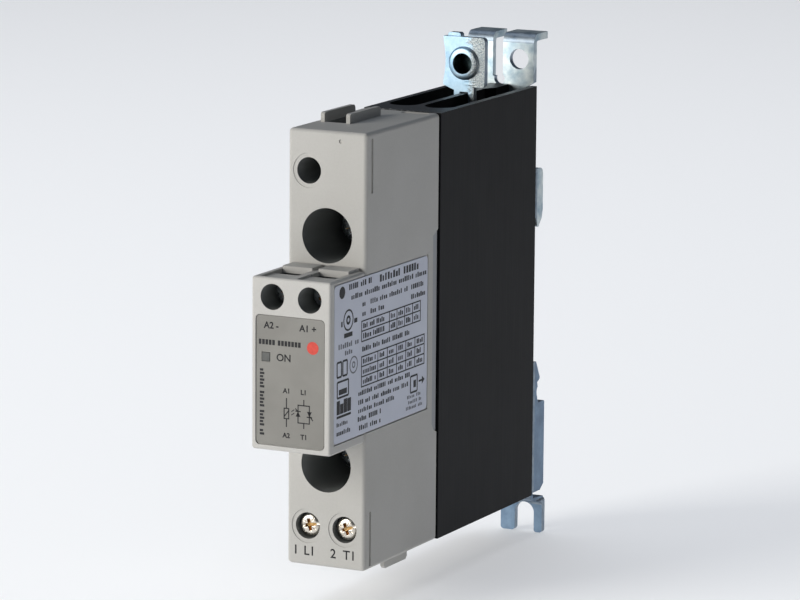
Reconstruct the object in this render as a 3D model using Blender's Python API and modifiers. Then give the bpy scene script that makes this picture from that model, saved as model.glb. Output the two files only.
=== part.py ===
"""Solid state relay on a finned heatsink, with clips for a 35 mm rail.

Frame: the origin is the rail's centre on the heatsink's rear face.
+X is to the right seen from the front, +Y runs back to the rail and +Z is up.
Sizes are in millimetres, and every mesh is made in metres.
"""

import math

import bmesh
import bpy
from mathutils import Matrix, Vector

MM = 0.001
GAP = 0.3

# Driving dimensions
WIDTH = 17.8
HALF = WIDTH / 2
HEIGHT = 90.0
TOP = HEIGHT / 2
BOTTOM = -HEIGHT / 2
SINK_DEPTH = 46.8
HOUSING_DEPTH = 33.4
COVER_DEPTH = 15.5
SINK_FRONT = -SINK_DEPTH
HOUSING_REAR = SINK_FRONT - GAP
HOUSING_FRONT = HOUSING_REAR - HOUSING_DEPTH
COVER_FRONT = HOUSING_FRONT - COVER_DEPTH
COVER_BOTTOM = -18.15
COVER_TOP = 17.1
WALL = 1.2

# Heatsink section
SINK_WALL = 1.4
SINK_BASE = 6.3
FIN_THICK = 1.4
BOSS_WIDTH = 4.4
BOSS_DEPTH = 6.5

# Rail and sheet metal
RAIL_HEIGHT = 35.0
SHEET = 1.5
CLIP_FRONT = 0.4
CLIP_REAR = 7.4
CLIP_HALF = 7.9
CLIP_TOP = 56.0
HOOK_HALF = 8.2
PANEL_HOLE_X = 4.4
CLIP_SCREWS = {"upper": 38.0, "lower": 30.0}
LATCH_RIVETS = {"upper": -22.5, "lower": -38.0}
LATCH_TRAVEL = 3.0
SPRING_BOTTOM = -35.2
SPRING_TOP = -28.2

# Terminals
POLE_X = 4.2
POWER_SCREW_Z = -36.75
CONTROL_SCREW_Z = 13.2
CONTROL_HEAD_Y = -90.5
MODULE_SCREWS = {"upper": 23.6, "lower": -23.7}

PLASTIC = (0.55, 0.54, 0.50)
DARK_PLASTIC = (0.08, 0.08, 0.09)
ZINC = (0.52, 0.58, 0.64)
NICKEL = (0.66, 0.62, 0.54)
COPPER = (0.72, 0.45, 0.28)


def new_collection(name):
    collection = bpy.data.collections.new(name)
    bpy.context.scene.collection.children.link(collection)
    return collection


def material(name, colour, roughness, metallic=0.0):
    finish = bpy.data.materials.new(name)
    finish.use_nodes = True
    shader = finish.node_tree.nodes["Principled BSDF"]
    shader.inputs["Base Color"].default_value = (*colour, 1.0)
    shader.inputs["Roughness"].default_value = roughness
    shader.inputs["Metallic"].default_value = metallic
    return finish


def add_object(name, mesh, at=(0, 0, 0)):
    made = bpy.data.objects.new(name, mesh)
    made.location = Vector(at) * MM
    parts.objects.link(made)
    return made


def finish_bmesh(name, work):
    bmesh.ops.recalc_face_normals(work, faces=work.faces)
    mesh = bpy.data.meshes.new(name)
    work.to_mesh(mesh)
    work.free()
    return mesh


def box(name, low, high, at=None):
    """A cube stretched between two corners, with its origin at `at`."""
    low, high = Vector(low), Vector(high)
    origin = Vector(at) if at else (low + high) / 2
    work = bmesh.new()
    bmesh.ops.create_cube(work, size=1.0)
    for vert in work.verts:
        spot = Vector(c * s for c, s in zip(vert.co, high - low))
        vert.co = (spot + (low + high) / 2 - origin) * MM
    return add_object(name, finish_bmesh(name, work), origin)


def rod(name, radius, start, end, sides=24):
    """A cylinder between two points, with its origin at the first."""
    start, end = Vector(start), Vector(end)
    run = end - start
    work = bmesh.new()
    bmesh.ops.create_cone(work, cap_ends=True, segments=sides, radius1=radius * MM,
                          radius2=radius * MM, depth=run.length * MM)
    turn = Vector((0, 0, 1)).rotation_difference(run.normalized()).to_matrix().to_4x4()
    work.transform(Matrix.Translation(run / 2 * MM) @ turn)
    return add_object(name, finish_bmesh(name, work), start)


def turned(name, profile, at, steps=24):
    """A profile of (radius, depth) points turned about the Y axis through `at`."""
    mesh = bpy.data.meshes.new(name)
    points = [(radius * MM, 0, -depth * MM) for radius, depth in profile]
    mesh.from_pydata(points, [(i, i + 1) for i in range(len(points) - 1)], [])
    lathe = add_object(name, mesh, at)
    lathe.rotation_euler = (math.radians(90), 0, 0)
    screw = lathe.modifiers.new("turn", "SCREW")
    screw.steps = steps
    screw.render_steps = steps
    screw.use_merge_vertices = True
    screw.merge_threshold = 0.000001
    screw.use_smooth_shade = True
    return lathe


def prism(name, outline, plane, start, end, at=(0, 0, 0)):
    """A flat outline filled and extruded from `start` to `end` across its plane."""
    frames = {
        "XZ": Matrix(((1, 0, 0), (0, 0, -1), (0, 1, 0))),
        "YZ": Matrix(((0, 0, 1), (1, 0, 0), (0, 1, 0))),
        "XY": Matrix.Identity(3),
    }
    curve = bpy.data.curves.new(name, "CURVE")
    curve.dimensions = "2D"
    curve.fill_mode = "BOTH"
    curve.extrude = (end - start) / 2 * MM
    spline = curve.splines.new("POLY")
    spline.points.add(len(outline) - 1)
    for point, (u, v) in zip(spline.points, outline):
        point.co = (u * MM, v * MM, 0, 1)
    spline.use_cyclic_u = True
    guide = bpy.data.objects.new(name + "_outline", curve)
    cutters.objects.link(guide)
    bpy.context.view_layer.update()
    graph = bpy.context.evaluated_depsgraph_get()
    mesh = bpy.data.meshes.new_from_object(guide.evaluated_get(graph))
    bpy.data.objects.remove(guide)
    turn = frames[plane]
    middle = turn @ Vector((0, 0, (start + end) / 2))
    if plane == "XZ":
        middle = Vector((0, (start + end) / 2, 0))
    work = bmesh.new()
    work.from_mesh(mesh)
    bmesh.ops.remove_doubles(work, verts=work.verts, dist=0.000001)
    for vert in work.verts:
        vert.co = turn @ vert.co + (middle - Vector(at)) * MM
    return add_object(name, finish_bmesh(name, work), at)


def arc(centre, radius, start, end, steps):
    """Points on an arc in degrees, both ends included."""
    spread = [math.radians(start + (end - start) * i / steps) for i in range(steps + 1)]
    return [(centre[0] + radius * math.cos(a), centre[1] + radius * math.sin(a)) for a in spread]


def as_cutter(tool):
    parts.objects.unlink(tool)
    cutters.objects.link(tool)
    tool.hide_render = True
    tool.display_type = "WIRE"
    return tool


def cut(target, *tools):
    for tool in tools:
        modifier = target.modifiers.new("cut_" + tool.name, "BOOLEAN")
        modifier.operation = "DIFFERENCE"
        modifier.object = as_cutter(tool)


def join(target, *tools):
    for tool in tools:
        modifier = target.modifiers.new("join_" + tool.name, "BOOLEAN")
        modifier.operation = "UNION"
        modifier.object = as_cutter(tool)


def round_edges(target, radius, segments=2):
    bevel = target.modifiers.new("rounded", "BEVEL")
    bevel.width = radius * MM
    bevel.segments = segments
    bevel.limit_method = "ANGLE"


def paint(finish, *targets):
    for target in targets:
        target.data.materials.clear()
        target.data.materials.append(finish)


def make_housing(plastic):
    """Main moulding: driver holes, two terminal chambers, module cavity and wire guides."""
    body = box("housing", (-HALF, HOUSING_FRONT, BOTTOM), (HALF, HOUSING_REAR, TOP))
    round_edges(body, 0.8)
    front = HOUSING_FRONT
    rear = HOUSING_REAR
    for side, x in (("left", -6.55), ("right", -0.75)):
        fin = box("fin_" + side, (x - 0.45, front + 10.5, TOP - 1), (x + 0.45, front + 24.3, TOP + 2.0))
        join(body, fin)
    for side, x in (("inner", 1.6), ("outer", 6.9)):
        for pole, sign in (("l", -1), ("r", 1)):
            spot = x * sign
            join(body, box(f"foot_{side}_{pole}", (spot - 0.45, front + 12.0, BOTTOM - 2.0),
                           (spot + 0.45, front + 22.5, BOTTOM + 1)))
    for place, z in MODULE_SCREWS.items():
        bore = rod("bore_" + place, 5.65, (0, front - 1, z), (0, front + 17.9, z), 32)
        shank = rod("shank_way_" + place, 2.4, (0, front + 10, z), (0, rear + 1, z), 16)
        cut(body, bore, shank)
    for side, sign in (("left", -1), ("right", 1)):
        x = POLE_X * sign
        z = POWER_SCREW_Z
        cut(body, rod("driver_" + side, 2.8, (x, front - 1, z), (x, front + 3.3, z)))
        cut(body, rod("stem_" + side, 2.3, (x, front + 2, z), (x, front + 5, z), 16))
        cut(body, box("chamber_" + side, (x - 3.4, front + 4.0, BOTTOM + WALL),
                      (x + 3.4, front + 21.3, BOTTOM + 14.2)))
        cut(body, box("wire_way_" + side, (x - 2.3, front + 12.7, BOTTOM - 1),
                      (x + 2.3, front + 20.9, BOTTOM + 2)))
        slot = (x + 0.4 * sign - 1.7, x + 0.4 * sign + 1.7)
        cut(body, box("bar_way_" + side, (slot[0], front + 19.6, BOTTOM + 12),
                      (slot[1], front + 22.0, -18.0)))
    cut(body, rod("spare_hole", 2.7, (-4.2, front - 1, 36.6), (-4.2, front + 12, 36.6)))
    cut(body, box("spare_way", (-6.0, front + 11.0, 31.0), (-1.4, front + 23.8, TOP + 1)))
    cut(body, box("module_cavity", (-7.5, front + 22.6, -20.6), (7.5, rear + 1, 18.0)))
    cut(body, box("bar_space", (-6.5, front + 19.6, -20.6), (6.5, front + 23.5, 12.0)))
    cut(body, box("board_window", (-6.0, front - 1, -15.0), (6.0, front + 21.0, 13.0)))
    cut(body, box("frame_notch", (-HALF - 1, front + 30.4, -21.2), (HALF + 1, rear + 1, 19.8)))
    cut(body, box("label_recess", (8.5, front - 1, -17.0), (HALF + 1, front + 28.3, 15.9)))
    cut(body, box("top_ledge", (1.0, rear - 3.0, TOP - 0.5), (7.2, rear - 1.2, TOP + 1)))
    paint(plastic, body)


def make_control_cover(plastic, dark, label):
    """Projecting block with two driver holes, two wire pockets and the front label's recess."""
    front = COVER_FRONT
    back = HOUSING_FRONT - GAP
    body = box("control_cover", (-HALF, front, COVER_BOTTOM), (HALF, back, COVER_TOP))
    round_edges(body, 0.6)
    cut(body, box("cover_cavity", (-7.8, front + 1.3, COVER_BOTTOM + WALL), (7.8, back + 1, 5.0)))
    for side, sign in (("left", -1), ("right", 1)):
        x = POLE_X * sign
        z = CONTROL_SCREW_Z
        cut(body, rod("driver_c_" + side, 2.65, (x, front - 1, z), (x, front + 8.0, z)))
        cut(body, box("pocket_" + side, (x - 3.3, front + 7.1, 9.8), (x + 3.3, front + 12.9, 16.2)))
        cut(body, box("pocket_mouth_" + side, (x - 3.3, front + 7.2, 15), (x + 3.3, front + 10.5, 19)))
        cut(body, box("contact_way_" + side, (x - 1.9, front + 9.4, 1.5), (x + 1.9, front + 10.7, 11)))
        cut(body, box("front_step_" + side, (x - 3.3, front + 0.6, COVER_TOP - 0.35),
                      (x + 3.3, front + 7.6, COVER_TOP + 1)))
        join(body, box("rear_step_" + side, (x - 3.3, front + 10.6, COVER_TOP - 0.6),
                       (x + 3.3, back, COVER_TOP + 0.6)))
    cut(body, box("front_recess", (-8.0, front - 1, -17.3), (8.0, front + 0.45, 9.5)))
    cut(body, box("side_recess", (8.5, front + 1.7, -17.0), (HALF + 1, back + 1, 15.9)))
    window = (-5.65, 0.8)
    cut(body, box("window_way", (window[0] - 1.2, front - 1, window[1] - 1.2),
                  (window[0] + 1.2, front + 2, window[1] + 1.2)))
    paint(plastic, body)

    sheet = box("front_label", (-7.7, front - 0.05, -17.0), (7.7, front + 0.2, 9.2))
    cut(sheet, box("label_window", (window[0] - 1.2, front - 1, window[1] - 1.2),
                   (window[0] + 1.2, front + 1, window[1] + 1.2)))
    paint(label, sheet)
    lens = box("led_window", (window[0] - 0.9, front, window[1] - 0.9),
               (window[0] + 0.9, front + 1.7, window[1] + 0.9))
    paint(dark, lens)


def make_rating_label(label):
    """Thin label across the right side of the cover and the housing, in one recess."""
    sheet = box("rating_label", (8.75, COVER_FRONT + 2.0, -16.7), (8.95, HOUSING_FRONT + 28.0, 15.6))
    paint(label, sheet)


def make_base_frame(plastic):
    """Ring that carries the ceramic and snaps the housing to the heatsink's front."""
    rear = HOUSING_REAR
    ring = box("base_frame", (-8.6, rear - 2.5, -20.9), (8.6, rear - 0.3, 19.5))
    cut(ring, box("frame_window", (-6.7, rear - 4, -17.8), (6.7, rear + 1, 15.8)))
    paint(plastic, ring)


def make_power_module(pad, ceramic, silicon):
    """Thermal pad, ceramic plate and the two thyristor chips, stacked on the heatsink."""
    rear = HOUSING_REAR
    paint(pad, box("thermal_pad", (-6.4, rear - 0.3, -17.5), (6.4, rear, 15.5)))
    paint(ceramic, box("ceramic_substrate", (-6.4, rear - 1.5, -17.5), (6.4, rear - 0.6, 15.5)))
    for side, sign in (("left", -1), ("right", 1)):
        x = 3.2 * sign
        chip = box("thyristor_" + side, (x - 2.4, rear - 2.3, -4.0), (x + 2.4, rear - 1.8, 4.0))
        paint(silicon, chip)


def make_heatsink(black):
    """Extrusion with a thick base, two outer walls, a central fin and a screw boss at its rear."""
    inner = HALF - SINK_WALL
    half_fin = FIN_THICK / 2
    channel = inner - half_fin
    root = channel / 2
    centre_x = half_fin + root
    start = SINK_FRONT + SINK_BASE + root
    half_boss = BOSS_WIDTH / 2
    right = [(half_boss, 1), (half_boss, -BOSS_DEPTH), (half_fin, -BOSS_DEPTH - 2.0)]
    right += arc((centre_x, start), root, 180, 360, 10)
    right += [(inner, 1)]
    left = [(-x, y) for x, y in reversed(right)]
    body = box("heatsink", (-HALF, SINK_FRONT, BOTTOM), (HALF, 0, TOP))
    cut(body, prism("channel_right", right, "XY", BOTTOM - 2, TOP + 2))
    cut(body, prism("channel_left", left, "XY", BOTTOM - 2, TOP + 2))
    for place, z in MODULE_SCREWS.items():
        cut(body, rod("tapped_" + place, 2.3, (0, SINK_FRONT - 1, z), (0, SINK_FRONT + 5.6, z), 16))
    for z in CLIP_SCREWS.values():
        cut(body, rod("clip_tap", 1.5, (0, -5.0, z), (0, 1, z), 16))
    for z in LATCH_RIVETS.values():
        cut(body, rod("rivet_seat", 1.8, (0, -4.3, z), (0, 1, z), 16))
    paint(black, body)


def make_clip_plate(zinc):
    """Upper clip: two tabs with a relief slot, a panel hole, top flanges and two rail hooks."""
    seat = RAIL_HEIGHT / 2
    neck = 6.2
    outline = [(-CLIP_HALF, CLIP_TOP), (-CLIP_HALF, TOP + 0.4), (-neck, TOP - 0.8), (-neck, 27.6)]
    outline += [(-HOOK_HALF, 26.8), (-HOOK_HALF, seat + 0.3), (HOOK_HALF, seat + 0.3)]
    outline += [(HOOK_HALF, 26.8), (neck, 27.6), (neck, TOP - 0.8), (CLIP_HALF, TOP + 0.4)]
    outline += [(CLIP_HALF, CLIP_TOP)]
    plate = prism("clip_plate", outline, "XZ", CLIP_FRONT, CLIP_FRONT + SHEET)
    flange_low = (-CLIP_HALF, CLIP_FRONT + 0.5, CLIP_TOP - SHEET)
    join(plate, box("top_flange", flange_low, (CLIP_HALF, CLIP_REAR, CLIP_TOP - 0.01)))
    hook = [(CLIP_FRONT + 0.1, seat + 0.35), (CLIP_FRONT + 1.0, seat - 0.4), (2.6, seat - 3.5)]
    hook += [(3.5, seat - 3.6), (4.9, seat - 1.8), (5.3, seat), (5.3, 24.4)]
    hook += arc((3.9, 25.3), 1.4, 0, 90, 3) + [(CLIP_FRONT + 0.1, 26.7)]
    for side, x in (("left", -HOOK_HALF), ("right", HOOK_HALF - SHEET)):
        join(plate, prism("hook_" + side, hook, "YZ", x + 0.01, x + SHEET - 0.01))
    cut(plate, box("slot", (-1.8, -1, 46.5), (0.6, 9, 60)))
    cut(plate, rod("relief", 1.25, (-0.2, -1, 46.0), (-0.2, 3, 46.0), 16))
    cut(plate, rod("panel_hole", 2.2, (PANEL_HOLE_X, -1, 50.5), (PANEL_HOLE_X, 3, 50.5), 20))
    for place, z in CLIP_SCREWS.items():
        cut(plate, rod("clip_hole_" + place, 1.8, (0, -1, z), (0, 3, z), 16))
    paint(zinc, plate)


def make_rail_latch(zinc):
    """Sliding latch: web on two rivets, side flanges with a nose, and a foot with two legs."""
    edge = -RAIL_HEIGHT / 2
    rear = CLIP_FRONT + SHEET
    web = box("rail_latch", (-HOOK_HALF, CLIP_FRONT, BOTTOM), (HOOK_HALF, rear, edge - 0.5), (0, 0, 0))
    side = [(CLIP_FRONT + 0.1, BOTTOM + 0.1), (CLIP_FRONT + 0.1, edge - 0.6), (1.4, edge - 0.6)]
    side += [(1.4, edge + 1.7), (3.2, edge + 1.7), (4.8, edge - 1.9), (4.6, edge - 2.6)]
    side += [(3.4, edge - 3.2), (3.3, edge - 5.6), (3.8, edge - 7.6), (CLIP_REAR, edge - 7.6)]
    side += [(CLIP_REAR, BOTTOM + 0.9), (5.8, BOTTOM + 0.1)]
    for name, x in (("left", -HOOK_HALF), ("right", HOOK_HALF - SHEET)):
        join(web, prism("flange_" + name, side, "YZ", x + 0.01, x + SHEET - 0.01))
    foot = [(CLIP_FRONT + 0.05, BOTTOM + 0.5), (CLIP_FRONT + 0.05, BOTTOM - 0.3)]
    foot += [(CLIP_REAR - SHEET, BOTTOM - 3.4), (CLIP_REAR - SHEET, -54.6)]
    foot += [(CLIP_REAR, -54.6), (CLIP_REAR, BOTTOM - 2.4), (rear - 0.05, BOTTOM + 0.5)]
    join(web, prism("foot", foot, "YZ", -1.3, 8.6))
    slot_half = 2.3
    arch = BOTTOM - 3.0 - slot_half
    cut(web, box("panel_slot", (PANEL_HOLE_X - slot_half, -1, -60), (PANEL_HOLE_X + slot_half, 9, arch)))
    cut(web, rod("slot_arch", slot_half, (PANEL_HOLE_X, -1, arch), (PANEL_HOLE_X, 9, arch), 20))
    for place, z in LATCH_RIVETS.items():
        low, high = z - 0.05, z + LATCH_TRAVEL
        slot = arc((0, low), 1.8, 180, 360, 6) + arc((0, high), 1.8, 0, 180, 6)
        cut(web, prism("rivet_slot_" + place, slot, "XZ", -1, 4))
    lug = box("spring_lug", (-2.2, rear - 0.5, SPRING_TOP + GAP), (2.2, 5.4, SPRING_TOP + GAP + SHEET))
    join(web, lug)
    paint(zinc, web)


def make_latch_spring(steel):
    """Compression spring between the lower rivet's head and the latch's lug."""
    turns = 5
    per_turn = 10
    wire = 0.25
    coil_radius = 1.5
    rise = SPRING_TOP - SPRING_BOTTOM - 2 * wire
    curve = bpy.data.curves.new("latch_spring", "CURVE")
    curve.dimensions = "3D"
    curve.bevel_depth = wire * MM
    curve.bevel_resolution = 1
    curve.use_fill_caps = True
    spline = curve.splines.new("POLY")
    count = turns * per_turn
    spline.points.add(count)
    for i in range(count + 1):
        turn = 2 * math.pi * i / per_turn
        spot = (coil_radius * math.cos(turn), coil_radius * math.sin(turn), wire + rise * i / count)
        spline.points[i].co = (*(c * MM for c in spot), 1)
    spring = bpy.data.objects.new("latch_spring", curve)
    spring.location = Vector((0, 3.9, SPRING_BOTTOM)) * MM
    parts.objects.link(spring)
    curve.materials.append(steel)


def make_clip_fixings(zinc):
    """Pan-head screws of the clip plate and shoulder rivets of the latch."""
    plate_rear = CLIP_FRONT + SHEET + GAP
    for place, z in CLIP_SCREWS.items():
        profile = [(0, -4.6), (1.2, -4.6), (1.2, plate_rear), (2.7, plate_rear)]
        profile += [(2.7, plate_rear + 1.0), (2.2, plate_rear + 1.6), (0, plate_rear + 1.6)]
        screw = turned("clip_screw_" + place, profile, (0, 0, z), 20)
        top = plate_rear + 1.6
        cut(screw, box("slot_" + place, (-0.3, top - 0.7, z - 4), (0.3, top + 1, z + 4)))
        paint(zinc, screw)
    for place, z in LATCH_RIVETS.items():
        profile = [(0, -4.0), (1.5, -4.0), (1.5, plate_rear), (2.5, plate_rear)]
        profile += [(2.5, plate_rear + 3.2), (0, plate_rear + 3.2)]
        rivet = turned("latch_rivet_" + place, profile, (0, 0, z), 20)
        paint(zinc, rivet)


def make_earth_terminal(zinc):
    """Stamped earth plate with a drawn blind thread and a foot that straddles the central fin."""
    front = -17.7
    half = 4.85
    waist = arc((-half - 17.5, 51.8), 18.0, -13, 13, 4)
    outline = [(-half, 46.6), *waist, (-half, 57.0), (half - 0.8, 57.0), (half, 56.2), (half, 47.2)]
    outline += [(half - 0.8, 46.4), (2.3, 45.6), (2.3, 40.5), (-2.3, 40.5), (-2.3, 45.6)]
    plate = prism("earth_terminal", outline, "XZ", front, front + SHEET)
    join(plate, rod("collar", 3.25, (0, front - 0.9, 51.4), (0, front + 3.5, 51.4)))
    cut(plate, rod("thread_way", 2.3, (0, front - 3, 51.4), (0, front + 3.0, 51.4)))
    join(plate, rod("lug", 1.6, (-2.9, front + 0.7, 56.1), (-2.9, front + 2.7, 56.1), 16))
    cut(plate, box("fin_slot", (-1.0, front - 1, 39), (1.0, front + 4, 45.3)))
    paint(zinc, plate)


def make_power_terminals(zinc, nickel, copper):
    """Screw, cage clamp and bent busbar of each power pole."""
    front = HOUSING_FRONT
    for side, sign in (("left", -1), ("right", 1)):
        x = POLE_X * sign
        z = POWER_SCREW_Z
        profile = [(0, 1.0), (2.5, 1.0), (2.5, 3.0), (1.9, 3.0), (1.9, 10.8), (0, 10.8)]
        screw = turned("power_screw_" + side, profile, (x, front, z))
        cut(screw, box("slot_p_" + side, (x - 2.7, front, z - 0.4), (x + 2.7, front + 2.0, z + 0.4)))
        paint(nickel, screw)

        low = (x - 3.1, front + 7.9, BOTTOM + 2.0)
        high = (x + 3.1, front + 20.9, BOTTOM + 12.9)
        cage = box("power_clamp_" + side, low, high, (x, front + 7.9, z))
        way_low = (x - 2.3, low[1] + 1.7, low[2] - 1)
        cut(cage, box("cage_way_" + side, way_low, (x + 2.3, high[1] - 1.5, high[2] + 1)))
        cut(cage, rod("cage_thread_" + side, 2.2, (x, front + 6, z), (x, front + 10, z)))
        paint(zinc, cage)

        bar_x = x + 0.4 * sign
        y1, y2, y3 = front + 11.4, front + 20.3, HOUSING_REAR - 2.9
        z1, z2, z3, z4 = BOTTOM + 2.6, BOTTOM + 12.9, -16.6, -10.5
        bar = [(y1, z1), (y1, z2 + 1), (y2, z2 + 1), (y2, z3 + 1), (y3, z3 + 1), (y3, z4), (y3 + 1, z4)]
        bar += [(y3 + 1, z3), (y2 + 1, z3), (y2 + 1, z2), (y1 + 1, z2), (y1 + 1, z1)]
        busbar = prism("power_busbar_" + side, bar, "YZ", bar_x - 1.4, bar_x + 1.4)
        paint(copper, busbar)


def make_control_terminals(zinc, nickel, copper):
    """Screw, cage clamp and contact strip of each control pole."""
    for side, sign in (("left", -1), ("right", 1)):
        x = POLE_X * sign
        z = CONTROL_SCREW_Z
        head = CONTROL_HEAD_Y
        profile = [(0, 0), (2.2, 0), (2.2, 1.3), (1.2, 1.3), (1.2, 3.9), (0, 3.9)]
        screw = turned("control_screw_" + side, profile, (x, head, z), 20)
        cut(screw, box("slot_c_" + side, (x - 2.5, head - 1, z - 0.35), (x + 2.5, head + 0.7, z + 0.35)))
        paint(nickel, screw)

        low = (x - 2.9, head + 2.8, 10.2)
        high = (x + 2.9, head + 7.1, 15.8)
        cage = box("control_clamp_" + side, low, high, (x, head + 2.8, z))
        gap_low = (x - 2.1, low[1] + 0.8, low[2] - 1)
        cut(cage, box("cage_gap_" + side, gap_low, (x + 2.1, high[1] - 0.8, high[2] + 1)))
        cut(cage, rod("cage_tap_" + side, 1.5, (x, head + 2, z), (x, head + 3.7, z), 16))
        paint(zinc, cage)

        y1, y2 = head + 4.3, head - 0.75
        strip = [(y1, 15.4), (y1 + 0.5, 15.4), (y1 + 0.5, 2.4), (y2, 2.4), (y2, 2.9), (y1, 2.9)]
        contact = prism("control_contact_" + side, strip, "YZ", x - 1.3, x + 1.3)
        paint(copper, contact)


def make_control_board(board, dark, beige, red):
    """Upright circuit board behind the label, with its parts and the pins to the power module."""
    face = COVER_FRONT + 2.9
    back = face + 1.2
    paint(board, box("control_board", (-7.4, face, -16.2), (7.4, back, 4.0)))
    lamp = rod("indicator_led", 0.75, (-5.65, face - 0.3, 0.8), (-5.65, face - 1.0, 0.8), 12)
    paint(red, lamp)
    paint(dark, box("optocoupler", (-3.3, back + GAP, -4.5), (3.3, back + 3.6, 1.8)))
    paint(beige, box("snubber_capacitor", (-6.8, back + GAP, -12.0), (-0.6, back + 4.8, -5.5)))
    paint(beige, rod("snubber_resistor", 1.1, (4.5, back + 1.5, -12.0), (4.5, back + 1.5, -5.5), 16))
    for side, sign in (("left", -1), ("right", 1)):
        x = 1.8 * sign
        pin = rod("gate_pin_" + side, 0.4, (x, back + GAP, -14.0), (x, HOUSING_REAR - 1.8, -14.0), 10)
        paint(nickel, pin)


def make_module_screws(zinc):
    """The two screws that press the housing and its ceramic onto the heatsink, with washers."""
    front = HOUSING_FRONT
    for place, z in MODULE_SCREWS.items():
        profile = [(0, 12.6), (3.2, 12.6), (3.5, 12.9), (3.5, 15.2), (2.0, 15.2), (2.0, 38.6), (0, 38.6)]
        screw = turned("module_screw_" + place, profile, (0, front, z))
        cut(screw, box("slot_m_" + place, (-3.8, front + 11, z - 0.5), (3.8, front + 14, z + 0.5)))
        paint(zinc, screw)
        for kind, radius, start in (("spring_washer", 3.6, 15.5), ("flat_washer", 4.5, 16.7)):
            face = front + start
            ring = rod(f"{kind}_{place}", radius, (0, face, z), (0, face + 0.9, z))
            cut(ring, rod(f"{kind}_hole_{place}", 2.35, (0, face - 1, z), (0, face + 2, z), 16))
            paint(zinc, ring)


for old in list(bpy.data.objects):
    bpy.data.objects.remove(old)
parts = new_collection("solid_state_relay")
cutters = new_collection("cutters")
cutters.hide_render = True

grey_plastic = material("housing_plastic", PLASTIC, 0.55)
frame_plastic = material("frame_plastic", (0.22, 0.23, 0.25), 0.6)
dark_plastic = material("dark_plastic", DARK_PLASTIC, 0.4)
front_sheet = material("front_label_sheet", (0.27, 0.27, 0.24), 0.5)
rating_sheet = material("rating_label_sheet", (0.30, 0.31, 0.37), 0.45)
anodised = material("black_anodised_aluminium", (0.013, 0.013, 0.014), 0.45, 0.6)
zinc_plate = material("zinc_plated_steel", ZINC, 0.35, 1.0)
nickel = material("nickel_plated_steel", NICKEL, 0.3, 1.0)
tinned_copper = material("copper_bar", COPPER, 0.35, 1.0)
spring_steel = material("spring_steel", (0.4, 0.4, 0.42), 0.35, 1.0)
white_ceramic = material("alumina_ceramic", (0.8, 0.8, 0.76), 0.5)
grey_pad = material("thermal_pad_silicone", (0.35, 0.35, 0.36), 0.8)
chip = material("silicon_chip", (0.12, 0.12, 0.15), 0.25, 0.4)
green_board = material("circuit_board", (0.02, 0.16, 0.06), 0.45)
beige_body = material("component_resin", (0.55, 0.38, 0.16), 0.5)
red_lens = material("indicator_lens", (0.05, 0.45, 0.1), 0.2)

make_housing(grey_plastic)
make_control_cover(grey_plastic, dark_plastic, front_sheet)
make_rating_label(rating_sheet)
make_base_frame(frame_plastic)
make_power_module(grey_pad, white_ceramic, chip)
make_heatsink(anodised)
make_clip_plate(zinc_plate)
make_rail_latch(zinc_plate)
make_latch_spring(spring_steel)
make_clip_fixings(zinc_plate)
make_earth_terminal(zinc_plate)
make_power_terminals(zinc_plate, nickel, tinned_copper)
make_control_terminals(zinc_plate, nickel, tinned_copper)
make_control_board(green_board, dark_plastic, beige_body, red_lens)
make_module_screws(zinc_plate)
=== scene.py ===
"""Solid state relay on a black finned heatsink, as it is put together from the heatsink forwards.

Axes: +X is to the right seen from the front, +Y runs back to the rail and +Z is up.
Sizes are in millimetres unless a name says otherwise; MM turns them to metres.
"""

import math
import random

import bmesh
import bpy
from mathutils import Matrix, Vector


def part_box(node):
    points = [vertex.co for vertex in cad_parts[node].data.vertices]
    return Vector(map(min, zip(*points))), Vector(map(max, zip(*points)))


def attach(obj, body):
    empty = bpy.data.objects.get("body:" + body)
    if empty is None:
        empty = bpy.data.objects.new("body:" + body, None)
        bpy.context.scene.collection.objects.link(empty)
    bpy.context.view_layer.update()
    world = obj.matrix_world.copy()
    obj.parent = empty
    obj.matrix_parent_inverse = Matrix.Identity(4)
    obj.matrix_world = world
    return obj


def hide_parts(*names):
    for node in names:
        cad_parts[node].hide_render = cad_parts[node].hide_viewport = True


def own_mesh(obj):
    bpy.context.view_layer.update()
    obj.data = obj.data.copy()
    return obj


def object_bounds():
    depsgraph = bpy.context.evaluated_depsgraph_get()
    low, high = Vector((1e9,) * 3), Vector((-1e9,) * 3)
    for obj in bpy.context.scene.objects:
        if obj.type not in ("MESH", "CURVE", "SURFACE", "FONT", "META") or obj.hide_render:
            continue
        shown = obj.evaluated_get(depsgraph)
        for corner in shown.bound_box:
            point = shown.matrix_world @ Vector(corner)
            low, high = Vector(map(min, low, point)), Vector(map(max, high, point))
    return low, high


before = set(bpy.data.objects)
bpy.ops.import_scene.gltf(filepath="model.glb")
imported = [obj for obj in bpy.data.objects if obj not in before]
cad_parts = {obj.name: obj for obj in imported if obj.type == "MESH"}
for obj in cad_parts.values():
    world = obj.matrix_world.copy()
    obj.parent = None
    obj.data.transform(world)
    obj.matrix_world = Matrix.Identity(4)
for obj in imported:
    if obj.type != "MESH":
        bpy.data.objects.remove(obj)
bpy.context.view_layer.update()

# --- Camera, floor and light -------------------------------------------------------------------
# A long lens from the right front, a pale matt floor, and a large soft light from the left front.
# The right side of the relay is left in soft shade, lit only by the floor and the pale room.
MM = 0.001
AIM = Vector((-1.3, -44.7, 4.6)) * MM
AZIMUTH, ELEVATION, ROLL = math.radians(26.467), math.radians(10.364), math.radians(0.425)
DISTANCE_M = 0.997
FOCAL_MM, SENSOR_MM = 214.8, 36.0
FLOOR_HALF_M = 6
FLOOR_GAP = 0.2


def cad_corners(node):
    """The low and high corners of a CAD node in millimetres, to a hundredth."""
    low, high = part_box(node)
    return [round(c / MM, 2) for c in low], [round(c / MM, 2) for c in high]


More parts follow.
